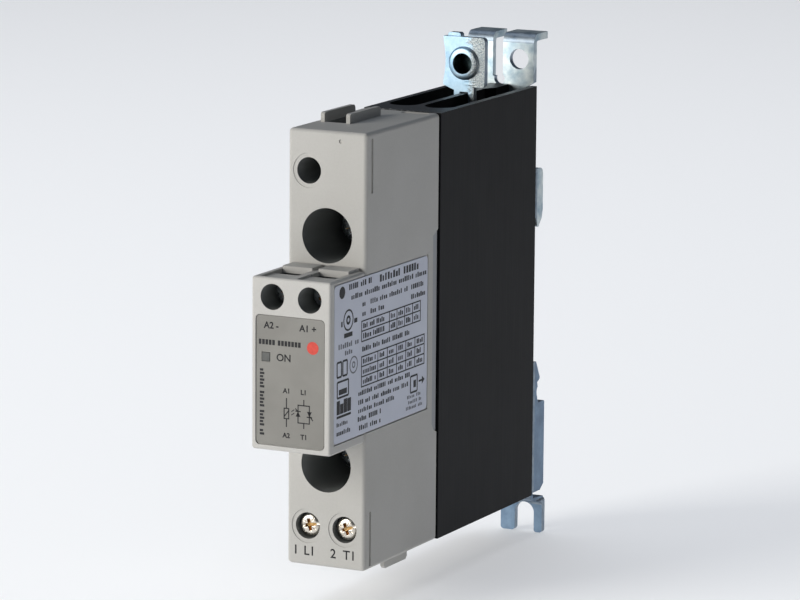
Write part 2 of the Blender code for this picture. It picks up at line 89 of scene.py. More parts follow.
def srgb(code):
    """An sRGB hex colour as linear RGBA."""
    channels = [int(code[i:i + 2], 16) / 255 for i in (1, 3, 5)]
    return [*(c / 12.92 if c <= 0.04045 else ((c + 0.055) / 1.055) ** 2.4 for c in channels), 1.0]


def add(tree, kind, settings=None, values=None, links=None):
    """Adds a node: settings are its own fields, values its sockets' values, links what feeds them."""
    made = tree.nodes.new(kind)
    for field, value in (settings or {}).items():
        setattr(made, field, value)
    for socket, value in (values or {}).items():
        made.inputs[socket].default_value = value
    for socket, source in (links or {}).items():
        tree.links.new(source, made.inputs[socket])
    return made


def new_material(name, **sockets):
    """A material with one Principled shader; sockets sets the shader's own values."""
    made = bpy.data.materials.new(name)
    made.use_nodes = True
    shader = made.node_tree.nodes["Principled BSDF"]
    for socket, value in sockets.items():
        shader.inputs[socket.replace("_", " ")].default_value = value
    return made, made.node_tree, shader


lens = bpy.data.cameras.new("camera")
lens.lens = FOCAL_MM
lens.sensor_width = SENSOR_MM
lens.clip_end = 20
camera = bpy.data.objects.new("camera", lens)
ahead = Vector((-math.sin(AZIMUTH) * math.cos(ELEVATION), math.cos(AZIMUTH) * math.cos(ELEVATION),
                -math.sin(ELEVATION)))
camera.rotation_mode = "QUATERNION"
camera.rotation_quaternion = ahead.to_track_quat("-Z", "Y") @ Matrix.Rotation(ROLL, 3, "Z").to_quaternion()
camera.location = AIM - ahead * DISTANCE_M
bpy.context.scene.collection.objects.link(camera)
bpy.context.scene.camera = camera
bpy.context.scene.view_settings.view_transform = "Standard"

floor_mesh = bpy.data.meshes.new("floor")
floor_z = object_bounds()[0][2] - FLOOR_GAP * MM
corners = [(x * FLOOR_HALF_M, y * FLOOR_HALF_M, floor_z) for x, y in ((-1, -1), (1, -1), (1, 1), (-1, 1))]
floor_mesh.from_pydata(corners, [], [(0, 1, 2, 3)])
floor = bpy.data.objects.new("floor", floor_mesh)
bpy.context.scene.collection.objects.link(floor)
floor_paint, _, _ = new_material("matt_white_floor", Base_Color=srgb("#F2F2F1"), Roughness=0.9,
                                 Specular_IOR_Level=0.2)
floor_mesh.materials.append(floor_paint)

world = bpy.data.worlds.new("pale_room")
world.use_nodes = True
room = world.node_tree.nodes["Background"]
room.inputs["Color"].default_value = srgb("#D6E4F6")
room.inputs["Strength"].default_value = 0.12
bpy.context.scene.world = world


def soft_light(name, place, target, width, height, watts, tint):
    """A rectangular soft box at `place`, turned to face `target`, both in metres."""
    data = bpy.data.lights.new(name, "AREA")
    data.shape = "RECTANGLE"
    data.size = width
    data.size_y = height
    data.energy = watts
    data.color = srgb(tint)[:3]
    lamp = bpy.data.objects.new(name, data)
    lamp.location = place
    lamp.rotation_mode = "QUATERNION"
    lamp.rotation_quaternion = (Vector(target) - Vector(place)).to_track_quat("-Z", "Y")
    bpy.context.scene.collection.objects.link(lamp)
    return lamp


soft_light("front_softbox", (-0.80, -1.2, 0.40), AIM, 0.7, 0.85, 17, "#FFFDF8")
soft_light("top_softbox", (-0.25, 0.15, 1.3), AIM, 0.8, 0.8, 2.6, "#EAF2FF")
# The floor has a lamp of its own, linked to it alone, so that it is near white behind the relay.
floor_lamp = soft_light("floor_lamp", (-0.30, 0.45, 1.8), (-0.30, 0.45, 0), 2.0, 2.6, 34, "#FAFBFF")
lit_by_it = bpy.data.collections.new("lit_by_the_floor_lamp")
lit_by_it.objects.link(floor)
floor_lamp.light_linking.receiver_collection = lit_by_it
floor_lamp.light_linking.blocker_collection = lit_by_it

# --- Heatsink --------------------------------------------------------------------------------
# An aluminium extrusion, sawn to length and tapped for the module's screws, with a thick base, two
# outer walls, a central fin and a rear boss for the clip's screws. Black anodising covers it all; the
# sawn ends are painted a little greyer as painted light, and their edges show bright metal that is
# partly rubbed edge wear and partly a painted highlight.
(_, SINK_FRONT, BOTTOM), (HALF, _, TOP) = cad_corners("heatsink")
SINK_BASE = 6.3
WALL_THICK = 1.4
MODULE_SCREWS = {"upper": 23.6, "lower": -23.7}
CLIP_SCREWS = {"upper": 38.0, "lower": 30.0}
LATCH_RIVETS = {"upper": -22.5, "lower": -38.0}
EDGE_ROUND = 0.16


def mesh_object(name, mesh, *materials):
    """A piece at the origin with the given materials, in their order, in place of the mesh's own."""
    made = bpy.data.objects.new(name, mesh)
    bpy.context.scene.collection.objects.link(made)
    mesh.materials.clear()
    for finish in materials:
        mesh.materials.append(finish)
    return made


def bm_mesh(work):
    """The bmesh as a mesh, with its normals turned outwards."""
    bmesh.ops.recalc_face_normals(work, faces=work.faces)
    mesh = bpy.data.meshes.new("work")
    work.to_mesh(mesh)
    work.free()
    return mesh


def box_mesh(low, high):
    """A box between two corners in millimetres."""
    work = bmesh.new()
    bmesh.ops.create_cube(work, size=1.0)
    low, high = Vector(low), Vector(high)
    for vert in work.verts:
        vert.co = (Vector(c * s for c, s in zip(vert.co, high - low)) + (low + high) / 2) * MM
    return bm_mesh(work)


def rod_mesh(radius, start, end, sides=40):
    """A cylinder between two points in millimetres."""
    start, end = Vector(start), Vector(end)
    run = end - start
    work = bmesh.new()
    bmesh.ops.create_cone(work, cap_ends=True, segments=sides, radius1=radius * MM,
                          radius2=radius * MM, depth=run.length * MM)
    turn = Vector((0, 0, 1)).rotation_difference(run.normalized()).to_matrix().to_4x4()
    work.transform(Matrix.Translation((start + run / 2) * MM) @ turn)
    return bm_mesh(work)


def prism_mesh(outline, plane, start, end):
    """An outline in the XY, XZ or YZ plane, given thickness across it from start to end."""
    place = {"XY": lambda u, v, w: (u, v, w), "XZ": lambda u, v, w: (u, w, v),
             "YZ": lambda u, v, w: (w, u, v)}[plane]
    work = bmesh.new()
    ring = [work.verts.new(Vector(place(u, v, start)) * MM) for u, v in outline]
    base = work.faces.new(ring)
    grown = bmesh.ops.extrude_face_region(work, geom=[base])["geom"]
    shift = (Vector(place(0, 0, end)) - Vector(place(0, 0, start))) * MM
    bmesh.ops.translate(work, verts=[v for v in grown if isinstance(v, bmesh.types.BMVert)], vec=shift)
    return bm_mesh(work)


def arc(centre, radius, start, end, steps=12):
    """Points on an arc, from start to end in degrees."""
    angles = [math.radians(start + (end - start) * i / steps) for i in range(steps + 1)]
    return [(centre[0] + radius * math.cos(a), centre[1] + radius * math.sin(a)) for a in angles]


def rounded_rect(low, high, radius, steps=6):
    """The outline of a rectangle with round corners."""
    (x0, y0), (x1, y1), r = low, high, radius
    return [*arc((x1 - r, y0 + r), r, -90, 0, steps), *arc((x1 - r, y1 - r), r, 0, 90, steps),
            *arc((x0 + r, y1 - r), r, 90, 180, steps), *arc((x0 + r, y0 + r), r, 180, 270, steps)]


def carve(mesh, cutters=(), joined=(), kept=(), bevel=0.0, segments=2, angle=30):
    """Joins, intersects and cuts a mesh, in that order, then rounds its edges."""
    body = bpy.data.objects.new("carve_work", mesh)
    bpy.context.scene.collection.objects.link(body)
    tools = []
    for kind, meshes in (("UNION", joined), ("INTERSECT", kept), ("DIFFERENCE", cutters)):
        for tool_mesh in meshes:
            tool = bpy.data.objects.new("carve_tool", tool_mesh)
            bpy.context.scene.collection.objects.link(tool)
            tools.append(tool)
            step = body.modifiers.new(kind.lower(), "BOOLEAN")
            step.operation = kind
            step.solver = "EXACT"
            step.object = tool
    if bevel:
        round_over = body.modifiers.new("rounded", "BEVEL")
        round_over.width = bevel * MM
        round_over.segments = segments
        round_over.limit_method = "ANGLE"
        round_over.angle_limit = math.radians(angle)
        round_over.use_clamp_overlap = True
        round_over.miter_outer = "MITER_ARC"
    graph = bpy.context.evaluated_depsgraph_get()
    result = bpy.data.meshes.new_from_object(body.evaluated_get(graph))
    for old in (body, *tools):
        bpy.data.objects.remove(old)
    return smooth_by_angle(result)


def smooth_by_angle(mesh, degrees=38):
    """Shades smooth across gentle edges; wide faces stay truly flat, as weighted normals make them."""
    work = bmesh.new()
    work.from_mesh(mesh)
    bmesh.ops.remove_doubles(work, verts=work.verts, dist=0.000002)
    limit = math.radians(degrees)
    for face in work.faces:
        face.smooth = True
    for edge in work.edges:
        edge.smooth = len(edge.link_faces) == 2 and edge.calc_face_angle(0) < limit
    work.to_mesh(mesh)
    work.free()
    holder = bpy.data.objects.new("shade_work", mesh)
    bpy.context.scene.collection.objects.link(holder)
    weighting = holder.modifiers.new("weighted", "WEIGHTED_NORMAL")
    weighting.keep_sharp = True
    weighting.weight = 80
    shaded = bpy.data.meshes.new_from_object(holder.evaluated_get(bpy.context.evaluated_depsgraph_get()))
    bpy.data.objects.remove(holder)
    return shaded


def surface_bump(tree, shader, height, distance_mm):
    """Feeds a height to the shader's normal; distance is the real depth in millimetres."""
    bump = add(tree, "ShaderNodeBump", values={"Strength": 1.0, "Distance": distance_mm * MM},
               links={"Height": height})
    tree.links.new(bump.outputs["Normal"], shader.inputs["Normal"])


def place_mm(tree):
    """Object coordinates in millimetres."""
    where = add(tree, "ShaderNodeTexCoord")
    scaled = add(tree, "ShaderNodeVectorMath", {"operation": "SCALE"}, {"Scale": 1 / MM},
                 {0: where.outputs["Object"]})
    return scaled.outputs["Vector"]


def mottle(tree, per_mm, detail=3.0, roughness=0.5, stretch=None):
    """Random blotches about 1 / per_mm across, fixed to the piece and drawn out along an axis if asked."""
    place = place_mm(tree)
    if stretch:
        place = add(tree, "ShaderNodeMapping", values={"Scale": stretch}, links={"Vector": place}).outputs[0]
    return add(tree, "ShaderNodeTexNoise", values={"Scale": per_mm, "Detail": detail, "Roughness": roughness},
               links={"Vector": place}).outputs["Fac"]


def two_tones(tree, shader, source, low, high, start=0.3, end=0.7):
    """Colours the shader's base from low to high, in sRGB hex, as source goes from start to end."""
    made = add(tree, "ShaderNodeValToRGB", links={"Fac": source})
    for band, level, code in zip(made.color_ramp.elements, (start, end), (low, high)):
        band.position = level
        band.color = srgb(code)
    tree.links.new(made.outputs["Color"], shader.inputs["Base Color"])
    return made.outputs["Color"]


def patchy_gloss(tree, shader, source, low, high):
    """Lets the shader's roughness wander between low and high with source."""
    spread = add(tree, "ShaderNodeMapRange", values={"To Min": low, "To Max": high}, links={"Value": source})
    tree.links.new(spread.outputs["Result"], shader.inputs["Roughness"])


# Black anodised aluminium: a deep neutral black with faint lines along the extrusion's length. Its
# specular level is kept low, so that the bright floor doesn't wash the black out.
anodised, tree, shader = new_material("black_anodised_aluminium", Roughness=0.46, Specular_IOR_Level=0.08)
lines = mottle(tree, 5.0, 2.0, 0.6, stretch=(1, 1, 0.012))
two_tones(tree, shader, mottle(tree, 0.06), "#131315", "#19191B")
patchy_gloss(tree, shader, lines, 0.40, 0.54)
surface_bump(tree, shader, lines, 0.012)

# Rubbed edge: grey aluminium shows in a broken line along the rounded end edges; it is partly edge wear,
# where the saw cut left the anodising thin, and partly a painted highlight.
edge_wear_and_painted_highlight, tree, shader = new_material("anodised_edge_wear_and_painted_highlight", Roughness=0.38)
breaks = mottle(tree, 0.9, 4.0, 0.7)
edge_wear_and_highlight_mask = add(tree, "ShaderNodeMapRange", values={"From Min": 0.38, "From Max": 0.56}, links={"Value": breaks})
two_tones(tree, shader, edge_wear_and_highlight_mask.outputs["Result"], "#2A2A2C", "#96989B", 0.0, 1.0)
tree.links.new(edge_wear_and_highlight_mask.outputs["Result"], shader.inputs["Metallic"])
surface_bump(tree, shader, breaks, 0.02)

# Sawn end: the same black over fine saw lines, painted a little greyer; the greyer tone is painted light,
# making the end faces look lit.
sawn_end_painted_light, tree, shader = new_material("sawn_anodised_aluminium_painted_light", Roughness=0.55)
scratches = mottle(tree, 4.0, 3.0, 0.6, stretch=(0.04, 1, 1))
mixed = add(tree, "ShaderNodeMix", {"data_type": "FLOAT"}, {0: 0.45}, {2: scratches, 3: mottle(tree, 0.35)})
two_tones(tree, shader, mixed.outputs[0], "#232325", "#3C3D40", 0.36, 0.66)
surface_bump(tree, shader, scratches, 0.03)

inner = HALF - WALL_THICK
half_fin = 0.7
root = (inner - half_fin) / 2
channel = [(2.2, 1), (2.2, -6.1), *arc((2.6, -6.1), 0.4, 180, 225, 3), (half_fin + 0.35, -8.1),
           (half_fin, -8.7)]
channel += [*arc((half_fin + root, SINK_FRONT + SINK_BASE + root), root, 180, 360, 24), (inner, 1)]
holes = []
for side in (1, -1):
    outline = [(x * side, y) for x, y in channel]
    holes.append(prism_mesh(outline, "XY", BOTTOM - 2, TOP + 2))
for z in MODULE_SCREWS.values():
    holes.append(rod_mesh(2.3, (0, SINK_FRONT - 1, z), (0, SINK_FRONT + 5.6, z), 24))
for places, radius, start in ((CLIP_SCREWS, 1.5, -5.0), (LATCH_RIVETS, 1.8, -4.3)):
    for z in places.values():
        holes.append(rod_mesh(radius, (0, start, z), (0, 1, z), 24))
sink_mesh = carve(box_mesh((-HALF, SINK_FRONT, BOTTOM), (HALF, 0, TOP)), holes, bevel=EDGE_ROUND)
sink = mesh_object("heatsink_extrusion", sink_mesh, anodised, edge_wear_and_painted_highlight, sawn_end_painted_light)
# The end faces take the painted lighter tone, and their rounded edges the bright metal that is partly painted
# highlight.
for face in sink_mesh.polygons:
    high = abs(face.center.z) > (TOP - EDGE_ROUND - 0.01) * MM
    if abs(face.normal.z) > 0.98 and high:
        face.material_index = 2
    elif abs(face.normal.z) > 0.12 and high:
        face.material_index = 1
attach(sink, "relay_body")
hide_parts("heatsink")

# --- Earth terminal -----------------------------------------------------------------------------
# A stamped and zinc-plated steel plate pressed over the central fin. Its blind collar is drawn out of
# the sheet and tapped; the half that the die struck last is left rough and granular.


def lathe_mesh(profile, at, sides=64):
    """A closed profile of (radius, depth) points spun about the Y axis through `at`."""
    work = bmesh.new()
    rings = []
    for radius, depth in profile:
        if radius < 0.001:
            rings.append([work.verts.new(Vector((at[0], at[1] + depth, at[2])) * MM)])
            continue
        rings.append([work.verts.new(Vector((at[0] + radius * math.cos(a), at[1] + depth,
                                             at[2] + radius * math.sin(a))) * MM)
                      for a in (math.tau * i / sides for i in range(sides))])
    closed = profile[0][0] >= 0.001
    pairs = list(zip(rings, rings[1:] + rings[:1] if closed else rings[1:]))
    for near, far in pairs:
        for i in range(sides):
            j = (i + 1) % sides
            corners = [near[i % len(near)], near[j % len(near)], far[j % len(far)], far[i % len(far)]]
            corners = list(dict.fromkeys(corners))
            if len(corners) > 2:
                work.faces.new(corners)
    return bm_mesh(work)


def plated_steel(name, low, high, rough, blotch_per_mm=0.25, bump_mm=0.01):
    """Zinc-plated sheet: clouded silver with a cold blue cast, patchy gloss and fine rolling marks."""
    made, tree, shader = new_material(name, Metallic=1.0, Roughness=rough)
    cloud = mottle(tree, blotch_per_mm, 4.0, 0.6)
    two_tones(tree, shader, cloud, low, high, 0.32, 0.66)
    patchy_gloss(tree, shader, cloud, rough - 0.12, rough + 0.16)
    surface_bump(tree, shader, mottle(tree, 3.0, 3.0, 0.65), bump_mm)
    return made, tree, shader


# Blue zinc plate: a clouded mirror, half way between satin and bright, with a cold blue cast.
blue_zinc, _, _ = plated_steel("blue_zinc_plated_sheet_steel", "#8FA6B4", "#DCE4E4", 0.38)
# Sheared edge: the plate is duller and bluer where the sheet was cut.
cut_edge, _, _ = plated_steel("zinc_plated_sheared_edge", "#7F8E9E", "#A9B4BD", 0.46, 0.6, 0.03)

# The struck plate: smooth blue zinc on its left, and a hammered, granular grey on its right.
struck_zinc, tree, shader = plated_steel("zinc_plate_struck_granular", "#7E9BB1", "#AFC8D9", 0.40)
place = place_mm(tree)
split = add(tree, "ShaderNodeSeparateXYZ", links={0: place})
shifted = add(tree, "ShaderNodeMath", {"operation": "MULTIPLY_ADD"}, {1: 6.0},
              {0: mottle(tree, 0.45, 3.0, 0.7), 2: split.outputs["X"]})
rough_side = add(tree, "ShaderNodeMapRange", values={"From Min": 3.6, "From Max": 5.0},
                 links={"Value": shifted.outputs[0]})
grit = add(tree, "ShaderNodeTexVoronoi", {"feature": "F1"}, {"Scale": 4.0}, {"Vector": place})
lumps = add(tree, "ShaderNodeMath", {"operation": "MULTIPLY"}, links={0: grit.outputs["Distance"],
                                                                    1: rough_side.outputs["Result"]})
surface_bump(tree, shader, lumps.outputs[0], 0.09)
smooth_tone = shader.inputs["Base Color"].links[0].from_socket
grit_tone = two_tones(tree, shader, grit.outputs["Distance"], "#D6D9D6", "#8E989D", 0.1, 0.55)
tint = add(tree, "ShaderNodeMix", {"data_type": "RGBA"},
           links={"Factor": rough_side.outputs["Result"], 6: smooth_tone, 7: grit_tone})
tree.links.new(tint.outputs[2], shader.inputs["Base Color"])

# The drawn collar stands 0.9 mm in front of the plate.
earth_front = cad_corners("earth_terminal")[0][1] + 0.9
SHEET = 1.5
BORE_Z = 51.4
half = 4.85
outline = [(-half, 46.6), *arc((-half - 17.5, 51.8), 18.0, -13, 13, 12), (-half, 57.0),
           (half - 0.9, 57.0), *arc((half - 0.9, 56.1), 0.9, 90, 0, 5)[1:],
           (half, 47.2), *arc((half - 0.8, 47.2), 0.8, 0, -90, 4)[1:],
           (2.3, 46.4), (2.3, 40.5), (-2.3, 40.5), (-2.3, 45.6), (-3.4, 46.0)]
thread = [(0.0, -3.0)]
for turn in range(8):
    thread += [(2.2, -3.0 + turn * 0.72), (2.48, -2.64 + turn * 0.72)]
thread += [(2.2, 2.9), (0.0, 3.0)]
collar = [(0.0, -0.9), (2.9, -0.9), (3.2, -0.75), (3.3, -0.3), (3.65, 0.05), (3.65, 0.5),
          (3.2, 1.0), (3.2, 3.3), (3.0, 3.5), (0.0, 3.5)]
tongue = [(-4.4, 54.5), (-1.4, 54.5), (-1.4, 57.1), *arc((-2.0, 57.1), 0.6, 0, 90, 4)[1:],
          *arc((-3.8, 57.1), 0.6, 90, 180, 4)]
earth_mesh = carve(prism_mesh(outline, "XZ", earth_front, earth_front + SHEET),
                   [lathe_mesh(thread, (0, earth_front, BORE_Z), 48),
                    box_mesh((-1.0, earth_front - 1, 39), (1.0, earth_front + 4, 45.3))],
                   [lathe_mesh(collar, (0, earth_front, BORE_Z), 48),
                    prism_mesh(tongue, "XZ", earth_front + 1.2, earth_front + 2.9)],
                   bevel=0.12, segments=2, angle=35)
# Down the thread the steel is painted dark: painted shade inside the bore.
tapped_bore_painted_shade, _, _ = plated_steel("tapped_steel_with_painted_shade", "#20292B", "#3D4A4C", 0.3, 0.9, 0.02)
earth = mesh_object("earth_terminal_plate", earth_mesh, struck_zinc, cut_edge, tapped_bore_painted_shade)
# Faces down the tapped bore take the painted shade; the narrow cut edges take the sheared-edge finish.
for face in earth_mesh.polygons:
    corners = [earth_mesh.vertices[v].co for v in face.vertices]
    reach = max(math.hypot(co.x, co.z - BORE_Z * MM) for co in corners)
    if reach < 2.6 * MM and face.center.y > (earth_front - 0.6) * MM:
        face.material_index = 2
    elif abs(face.normal.y) < 0.35 and (abs(face.center.x) > 3.8 * MM or face.center.z > 56.5 * MM):
        face.material_index = 1
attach(earth, "relay_body")
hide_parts("earth_terminal")

# --- Rail clip, its screws and rivets -------------------------------------------------------------
# The fixed clip is pressed from 1.5 mm steel strip and zinc plated after bending. Two pan-head screws
# hold it to the heatsink's rear boss, and its two hooks go over the top edge of a 35 mm rail.
(_, CLIP_FRONT, _), (_, CLIP_REAR, top) = cad_corners("clip_plate")
RAIL_EDGE = 17.5
rear_face = CLIP_FRONT + SHEET
bend_in, bend_out = 0.5, 2.0


def channel_profile(half, back):
    """The XY section of a strip bent back at both sides, with real bend radii."""
    y0 = CLIP_FRONT
    outer_bends = [(-half, back), *arc((-half + bend_out, y0 + bend_out), bend_out, 180, 270, 6),
                   *arc((half - bend_out, y0 + bend_out), bend_out, 270, 360, 6), (half, back)]
    inside = half - SHEET
    inner_y = rear_face + bend_in
    inner_bends = [(inside, back), *arc((inside - bend_in, inner_y), bend_in, 0, -90, 4),
                   *arc((-inside + bend_in, inner_y), bend_in, -90, -180, 4), (-inside, back)]
    return outer_bends + inner_bends


flange = [(CLIP_FRONT, RAIL_EDGE + 0.3), *arc((CLIP_FRONT + bend_out, top - bend_out), bend_out, 180, 90, 8),
          (CLIP_REAR, top), (CLIP_REAR, top - SHEET),
          *arc((rear_face + bend_in, top - SHEET - bend_in), bend_in, 90, 180, 5),
          (rear_face, RAIL_EDGE + 0.3)]
neck = 6.2
shape = [(-7.9, top + 1), (-7.9, TOP + 0.6), *arc((-neck, TOP - 1.0), 0.6, 90, 180, 4)[1:],
         (-neck, 28.4), (-8.2, 26.8), (-8.2, 17), (8.2, 17), (8.2, 26.8), (neck, 28.4),
         *arc((neck, TOP - 1.0), 0.6, 0, 90, 4), (7.9, TOP + 0.6), (7.9, top + 1)]
blank = carve(prism_mesh(flange, "YZ", -7.9, 7.9), kept=[prism_mesh(shape, "XZ", -1, 9)])
hook = [(0.0, RAIL_EDGE + 0.3), (1.4, RAIL_EDGE - 0.4), (2.6, 14.2), *arc((3.05, 14.35), 0.45, 200, 330, 5),
        (4.9, 15.7), (5.3, RAIL_EDGE), *arc((3.9, 25.3), 1.4, 0, 90, 6), (0.0, 26.8)]
hooks = carve(prism_mesh(channel_profile(8.2, 6), "XY", 13, 26.8), kept=[prism_mesh(hook, "YZ", -9, 9)])
cuts = [box_mesh((-1.8, -1, 46.5), (0.6, 9, 60)), rod_mesh(1.25, (-0.2, -1, 46.0), (-0.2, 3, 46.0), 40),
        rod_mesh(2.2, (4.4, -1, 50.5), (4.4, 3, 50.5), 48)]
cuts += [rod_mesh(1.8, (0, -1, z), (0, 3, z), 32) for z in CLIP_SCREWS.values()]
clip_mesh = carve(blank, cuts, [hooks], bevel=0.1, segments=2, angle=40)


def paint_sheared(mesh, thickness_mm=SHEET):
    """Gives the sheared edges of a sheet part, its narrow flat faces, the duller second material."""
    for face in mesh.polygons:
        xs = [mesh.vertices[v].co for v in face.vertices]
        spans = sorted(max(c[i] for c in xs) - min(c[i] for c in xs) for i in range(3))
        if spans[1] < (thickness_mm + 0.05) * MM and spans[2] > spans[1]:
            face.material_index = 1


clip = mesh_object("rail_clip_pressing", clip_mesh, blue_zinc, cut_edge)
paint_sheared(clip_mesh)
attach(clip, "relay_body")
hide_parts("clip_plate")

# Screws and rivets: turned steel with the same plating, brighter on their rounded heads.
bright_zinc, _, _ = plated_steel("bright_zinc_plated_fastener", "#A9B0B5", "#D3D7D9", 0.26, 0.8, 0.008)
seat = rear_face + 0.3
for place_name, z in CLIP_SCREWS.items():
    profile = [(0, -4.6), (1.0, -4.6), (1.2, -4.3), (1.2, seat), (2.7, seat), (2.7, seat + 0.8),
               *[(2.0 + 0.7 * math.cos(a), seat + 0.9 + 0.7 * math.sin(a)) for a in (0.3, 0.7, 1.1, 1.5)],
               (0, seat + 1.6)]
    head = carve(lathe_mesh(profile, (0, 0, z), 48),
                 [box_mesh((-0.3, seat + 0.9, z - 4), (0.3, seat + 3, z + 4)),
                  box_mesh((-1.5, seat + 0.9, z - 0.3), (1.5, seat + 3, z + 0.3))], bevel=0.05)
    clip_screw = mesh_object("clip_screw_head_" + place_name, head, bright_zinc)
    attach(clip_screw, "relay_body")
    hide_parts("clip_screw_" + place_name)
for place_name, z in LATCH_RIVETS.items():
    profile = [(0, -4.0), (1.3, -4.0), (1.5, -3.8), (1.5, seat), (2.5, seat), (2.5, seat + 2.7),
               (2.2, seat + 3.05), (1.5, seat + 3.2), (0.5, seat + 3.2), (0.3, seat + 3.0), (0, seat + 3.0)]
    rivet_mesh = carve(lathe_mesh(profile, (0, 0, z), 48))
    rivet = mesh_object("latch_rivet_head_" + place_name, rivet_mesh, bright_zinc)
    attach(rivet, "relay_body")
    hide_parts("latch_rivet_" + place_name)

# --- Rail latch and its spring --------------------------------------------------------------------
# The latch slides on two shoulder rivets and is held up by a small compression spring. It is the same
# plated strip, bent back at both sides, with a nose under the rail and a slotted foot to lever it by.
low_edge = -RAIL_EDGE
(_, _, FOOT_LOW), _ = cad_corners("rail_latch")
spring_low, spring_high = cad_corners("latch_spring")
rail_side = [(0.0, BOTTOM + 0.1), (0.0, low_edge - 0.5), (1.4, low_edge - 0.5),
             *arc((1.9, low_edge + 1.2), 0.5, 180, 90, 4), (2.9, low_edge + 1.7), (4.6, low_edge - 1.5),
             *arc((4.35, low_edge - 2.1), 0.5, 20, -80, 4), (3.6, low_edge - 3.0),
             *arc((4.9, low_edge - 5.2), 1.6, 130, 215, 5), (3.9, low_edge - 7.2),
             *arc((4.5, low_edge - 7.9), 0.3, 120, 90, 2), (CLIP_REAR - 0.4, low_edge - 7.6),
             *arc((CLIP_REAR - 0.4, low_edge - 8.0), 0.4, 90, 0, 4), (CLIP_REAR, BOTTOM + 1.3),
             (5.6, BOTTOM + 0.1)]
latch_body = carve(prism_mesh(channel_profile(8.2, 9), "XY", BOTTOM, low_edge + 3),
                   [box_mesh((-6.7, -1, low_edge - 0.5), (6.7, 4, low_edge + 4))],
                   kept=[prism_mesh(rail_side, "YZ", -9, 9)])
foot = [(CLIP_FRONT, BOTTOM + 0.5), (CLIP_FRONT, BOTTOM - 0.2), *arc((1.5, BOTTOM - 0.6), 0.9, 180, 225, 3),
        *arc((5.0, BOTTOM - 3.3), 0.9, 45, 0, 3), (CLIP_REAR - SHEET, FOOT_LOW), (CLIP_REAR, FOOT_LOW),
        *arc((5.2, BOTTOM - 2.8), 2.2, 0, 40, 4), *arc((2.6, BOTTOM - 0.5), 0.8, 225, 180, 3),
        (rear_face, BOTTOM + 0.5)]
legs = [(-1.3, BOTTOM + 1), *arc((-0.6, FOOT_LOW + 0.7), 0.7, 180, 270, 5),
        *arc((1.4, FOOT_LOW + 0.7), 0.7, 270, 360, 5)]
legs += [*arc((4.4, BOTTOM - 5.3), 2.3, 180, 0, 16), *arc((7.3, FOOT_LOW + 0.6), 0.6, 180, 270, 5),
         *arc((8.0, FOOT_LOW + 0.6), 0.6, 270, 360, 5)]
legs += [(8.6, BOTTOM - 3.6), *arc((7.7, BOTTOM - 2.4), 0.9, 0, 45, 3), (8.2, BOTTOM + 1)]
foot_mesh = carve(prism_mesh(foot, "YZ", -1.3, 8.6), kept=[prism_mesh(legs, "XZ", -1, 9)])
slots = []
for z in LATCH_RIVETS.values():
    slots.append(prism_mesh([*arc((0, z - 0.05), 1.8, 180, 360), *arc((0, z + 3), 1.8, 0, 180)], "XZ", -1, 4))
lug_low = spring_high[2] + 0.3
lug = box_mesh((-2.2, rear_face - 0.5, lug_low), (2.2, 5.4, lug_low + SHEET))
latch_mesh = carve(latch_body, slots, [foot_mesh, lug], bevel=0.1, segments=2, angle=40)
# Passivated zinc on the latch: the thicker blue film takes more of the light, so it reads slate blue.
slate_zinc, _, _ = plated_steel("blue_passivated_zinc_plated_steel", "#5F7389", "#8096AC", 0.40)
latch = mesh_object("rail_latch_pressing", latch_mesh, slate_zinc, cut_edge)
paint_sheared(latch_mesh)
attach(latch, "rail_latch")
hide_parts("rail_latch")

# The spring is wound from drawn steel wire.
spring_wire, _, _ = plated_steel("drawn_spring_steel_wire", "#8F9498", "#BFC4C7", 0.28, 1.2, 0.01)
WIRE_RADIUS, COILS, STEPS_PER_COIL, LATCH_TRAVEL = 0.25, 5, 28, 3.0
coil_radius = spring_high[0] - WIRE_RADIUS
spring_y = (spring_low[1] + spring_high[1]) / 2
spring_length = spring_high[2] - spring_low[2]
wound = bpy.data.curves.new("latch_spring_coil", "CURVE")
wound.dimensions = "3D"
wound.bevel_depth = WIRE_RADIUS * MM
wound.bevel_resolution = 3
wound.use_fill_caps = True
path = wound.splines.new("POLY")
path.points.add(COILS * STEPS_PER_COIL)
for i, spot in enumerate(path.points):
    share = i / (COILS * STEPS_PER_COIL)
    around = math.tau * COILS * share
    rise = WIRE_RADIUS * 1.2 + (spring_length - WIRE_RADIUS * 2.4) * share
    spot.co = (*(Vector((coil_radius * math.cos(around), spring_y + coil_radius * math.sin(around),
                         spring_low[2] + rise)) * MM), 1)
source = bpy.data.objects.new("latch_spring_coil", wound)
bpy.context.scene.collection.objects.link(source)
coil_mesh = bpy.data.meshes.new_from_object(source.evaluated_get(bpy.context.evaluated_depsgraph_get()))
bpy.data.objects.remove(source)
spring = mesh_object("latch_spring_coil", smooth_by_angle(coil_mesh), spring_wire)
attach(spring, "relay_body")
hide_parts("latch_spring")
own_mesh(spring)

# --- Base frame and housing -------------------------------------------------------------------------
# The main moulding is glass-filled polyamide, grey and matt with a fine spark-eroded grain. A separate
# base frame snaps into a notch at its rear, so a darker strip shows along the side.
(_, HOUSING_FRONT, _), (_, HOUSING_REAR, _) = cad_corners("housing")
(_, COVER_FRONT, COVER_BOTTOM), (_, _, STEP_TOP) = cad_corners("control_cover")
COVER_TOP = STEP_TOP - 0.6
POLES = (-4.2, 4.2)
POWER_SCREW_Z, SPARE_HOLE_Z = -36.75, 36.6
HOLE_RADIUS = 5.65


